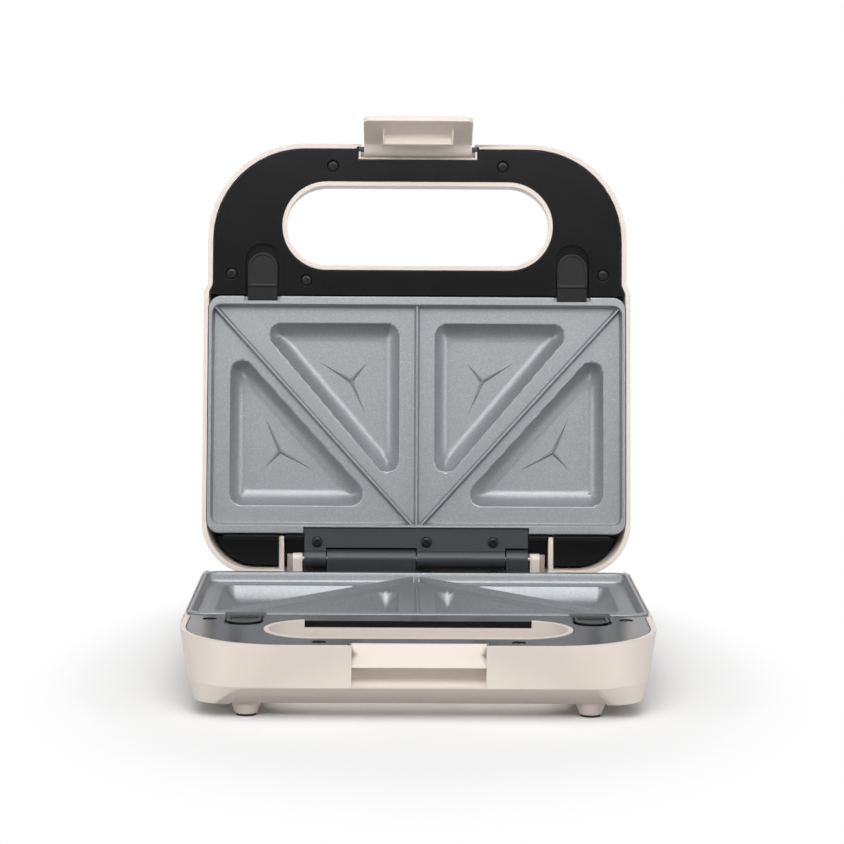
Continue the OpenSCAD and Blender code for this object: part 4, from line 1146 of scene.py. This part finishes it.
@dataclass
class Studio:
    """Pale floor, soft lamps and the camera at the photograph's angle.

    Args:
        fill: strength of the even light.
        bounce: how much light the floor throws back at the toaster.
        white: how pale the floor is where it is seen.
        fade_from: distance at which the floor starts to fade to white, in metres.
        fade_to: distance at which it is white.
        reach: half width of the floor and the backdrop, in metres.
        lamps: name, place, width and height, and watts of each lamp.
        turns: the camera's yaw, pitch and roll, in degrees.
        stand: the camera's place, in drawing millimetres.
        focal: its focal length in pixels of the photograph.
        photo_width: width of the photograph in pixels.
    """

    fill: float = 0.2
    bounce: float = 0.55
    white: float = 0.93
    fade_from: float = 0.112
    fade_to: float = 0.2
    reach: float = 30.0
    lamps: tuple[tuple[str, tuple[float, float, float], tuple[float, float], float], ...] = (
        ("front", (0.0, -2.0, 1.7), (3.0, 0.9), 35),
        ("overhead", (0.0, -0.7, 1.8), (1.6, 1.4), 14),
        ("left_side", (-1.6, -0.7, 0.5), (0.5, 1.4), 7.5),
        ("right_side", (1.6, -0.7, 0.5), (0.5, 1.4), 7.5),
    )
    turns: tuple[float, float, float] = (0.52, 6.06, 0.34)
    stand: tuple[float, float, float] = (-10.43, -1435.67, 232.45)
    focal: float = 2725.7
    photo_width: int = 844

    @staticmethod
    def _seen(graph: Graph) -> bpy.types.NodeSocket:
        """Makes a mask of where a surface is seen directly, mirrored or through something clear.

        Args:
            graph: the graph that the nodes are added to.

        Returns:
            The mask, 1 where it is seen.
        """
        path = graph.add("ShaderNodeLightPath").outputs
        total = path["Is Camera Ray"]
        for name in ("Is Glossy Ray", "Is Transmission Ray"):
            total = graph.math("ADD", total, path[name], use_clamp=True)
        return total

    @staticmethod
    def _plane(name: str, corners: Sequence[tuple[float, float, float]]) -> tuple[bpy.types.Object, Graph]:
        """Makes a large plane with an empty material.

        Args:
            name: its name.
            corners: its corners.

        Returns:
            The plane and the graph of its material.
        """
        mesh = bpy.data.meshes.new(name)
        mesh.from_pydata(corners, [], [(0, 1, 2, 3)])
        material = bpy.data.materials.new(name + "_white")
        material.use_nodes = True
        material.node_tree.nodes.clear()
        mesh.materials.append(material)
        return new_object(name, mesh), Graph(material.node_tree)

    @staticmethod
    def _mixed(graph: Graph, share: bpy.types.NodeSocket, first: bpy.types.Node,
               second: bpy.types.Node) -> bpy.types.NodeSocket:
        """Returns the mix of two shaders by the share of the second."""
        values = {0: share, 1: first.outputs[0], 2: second.outputs[0]}
        return graph.add("ShaderNodeMixShader", values).outputs[0]

    def floor(self) -> bpy.types.Object:
        """Returns the floor, which takes the toaster's shadow and fades to plain white away from it."""
        far = self.reach
        floor, graph = self._plane("floor", [(-far, -far, 0), (far, -far, 0), (far, far, 0), (-far, far, 0)])
        seen = self._seen(graph)
        tone = graph.add("ShaderNodeMix", data_type="RGBA")
        graph.feed(tone, {"A": (self.bounce,) * 3 + (1,), "B": (self.white,) * 3 + (1,), "Factor": seen})
        matte = graph.add("ShaderNodeBsdfDiffuse", {"Color": tone.outputs["Result"]})
        glow = graph.add("ShaderNodeEmission", {"Strength": 1.0})
        place = graph.add("ShaderNodeTexCoord").outputs["Object"]
        shift = graph.add("ShaderNodeMapping",
                          {"Vector": place, "Location": (0, 0.02, 0), "Scale": (1, 0.62, 1)})
        away = graph.add("ShaderNodeVectorMath", {0: shift.outputs[0]}, operation="LENGTH")
        fade = graph.add("ShaderNodeMapRange", {
            "Value": away.outputs["Value"], "From Min": self.fade_from, "From Max": self.fade_to,
        }, interpolation_type="SMOOTHSTEP")
        both = graph.math("MULTIPLY", seen, fade.outputs[0])
        graph.add("ShaderNodeOutputMaterial", {"Surface": self._mixed(graph, both, matte, glow)})
        return floor

    def backdrop(self) -> bpy.types.Object:
        """Returns a white wall behind the toaster: white where it is seen, dim to matte surfaces."""
        far, back = self.reach, 12
        corners = [(-far, back, -1), (far, back, -1), (far, back, far), (-far, back, far)]
        wall, graph = self._plane("backdrop", corners)
        dim = graph.add("ShaderNodeEmission", {"Strength": self.fill})
        white = graph.add("ShaderNodeEmission", {"Strength": 1.0})
        graph.add("ShaderNodeOutputMaterial", {"Surface": self._mixed(graph, self._seen(graph), dim, white)})
        return wall

    def world(self) -> None:
        """Sets an even, dim surround that the camera sees as plain white."""
        world = bpy.data.worlds.new("surround")
        bpy.context.scene.world = world
        world.use_nodes = True
        graph = Graph(world.node_tree)
        even = graph.tree.nodes["Background"]
        graph.feed(even, {"Color": (1, 1, 1, 1), "Strength": self.fill})
        white = graph.add("ShaderNodeBackground", {"Color": (1, 1, 1, 1), "Strength": 1.0})
        seen = graph.add("ShaderNodeLightPath").outputs["Is Camera Ray"]
        graph.feed(graph.tree.nodes["World Output"], {"Surface": self._mixed(graph, seen, even, white)})

    @staticmethod
    def lamp(name: str, place: tuple[float, float, float], size: tuple[float, float],
             power: float) -> bpy.types.Object:
        """Adds one soft box that points at the toaster.

        Args:
            name: its name.
            place: where it hangs.
            size: its width and height, in metres.
            power: its power, in watts.

        Returns:
            The lamp.
        """
        data = bpy.data.lights.new(name, "AREA")
        data.shape = "RECTANGLE"
        data.size, data.size_y = size
        data.energy = power
        lamp = new_object(name, data)
        lamp.location = place
        lamp.rotation_mode = "QUATERNION"
        lamp.rotation_quaternion = (Vector((0, 0, 0.12)) - Vector(place)).to_track_quat("-Z", "Y")
        return lamp

    def camera(self) -> bpy.types.Object:
        """Returns the camera, placed as it was fitted to the photograph."""
        yaw, pitch, roll = map(math.radians, self.turns)
        forward = Vector((math.sin(yaw) * math.cos(pitch), math.cos(yaw) * math.cos(pitch), -math.sin(pitch)))
        right = Vector((math.cos(yaw), -math.sin(yaw), 0))
        up = right.cross(forward)
        across = math.cos(roll) * right + math.sin(roll) * up
        above = -math.sin(roll) * right + math.cos(roll) * up
        data = bpy.data.cameras.new("camera")
        data.sensor_fit = "HORIZONTAL"
        data.sensor_width = 36.0
        data.lens = data.sensor_width * self.focal / self.photo_width
        data.clip_start, data.clip_end = 0.05, 100
        camera = new_object("camera", data)
        place = PLACE.base() @ Vector(self.stand)
        turn = Matrix((across, above, -forward)).transposed().to_4x4()
        camera.matrix_world = Matrix.Translation(place) @ turn
        bpy.context.scene.camera = camera
        return camera

    def build(self) -> None:
        """Builds the studio."""
        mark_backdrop(self.floor(), self.backdrop())
        self.world()
        for lamp in self.lamps:
            self.lamp(*lamp)
        self.camera()
        bpy.context.scene.view_settings.view_transform = "Standard"


# All of it


def record_size(sizes: dict[str, list[list[float]]], key: str) -> None:
    """Notes the shown object's box under a name, beside the boxes so far."""
    low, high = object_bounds()
    sizes[key] = [[round(v, 6) for v in low], [round(v, 6) for v in high]]


def main() -> None:
    """Builds the toaster's pieces in order and reports each."""
    logging.basicConfig(level=logging.INFO, format="%(name)s: %(message)s")
    sizes: dict[str, list[list[float]]] = {}
    record_size(sizes, "load")
    steps: list[tuple[str, Callable[[], object]]] = [
        ("rounded pieces", RoundedPieces().build),
        ("inner parts", InnerParts().dress),
        ("clip springs", CoilSprings().build),
        ("lower plate", GrillPlate(Half.BASE, "lower_grill_plate", "lower_plate").build),
        ("upper plate", GrillPlate(Half.LID, "upper_grill_plate", "upper_plate").build),
        ("screws", Screws().build),
        ("studio", Studio().build),
    ]
    for name, step in steps:
        made = step()
        LOG.info("%s: %s", name, [o.name for o in made] if isinstance(made, list) else made)
    record_size(sizes, "finish")


if __name__ == "__main__":
    main()
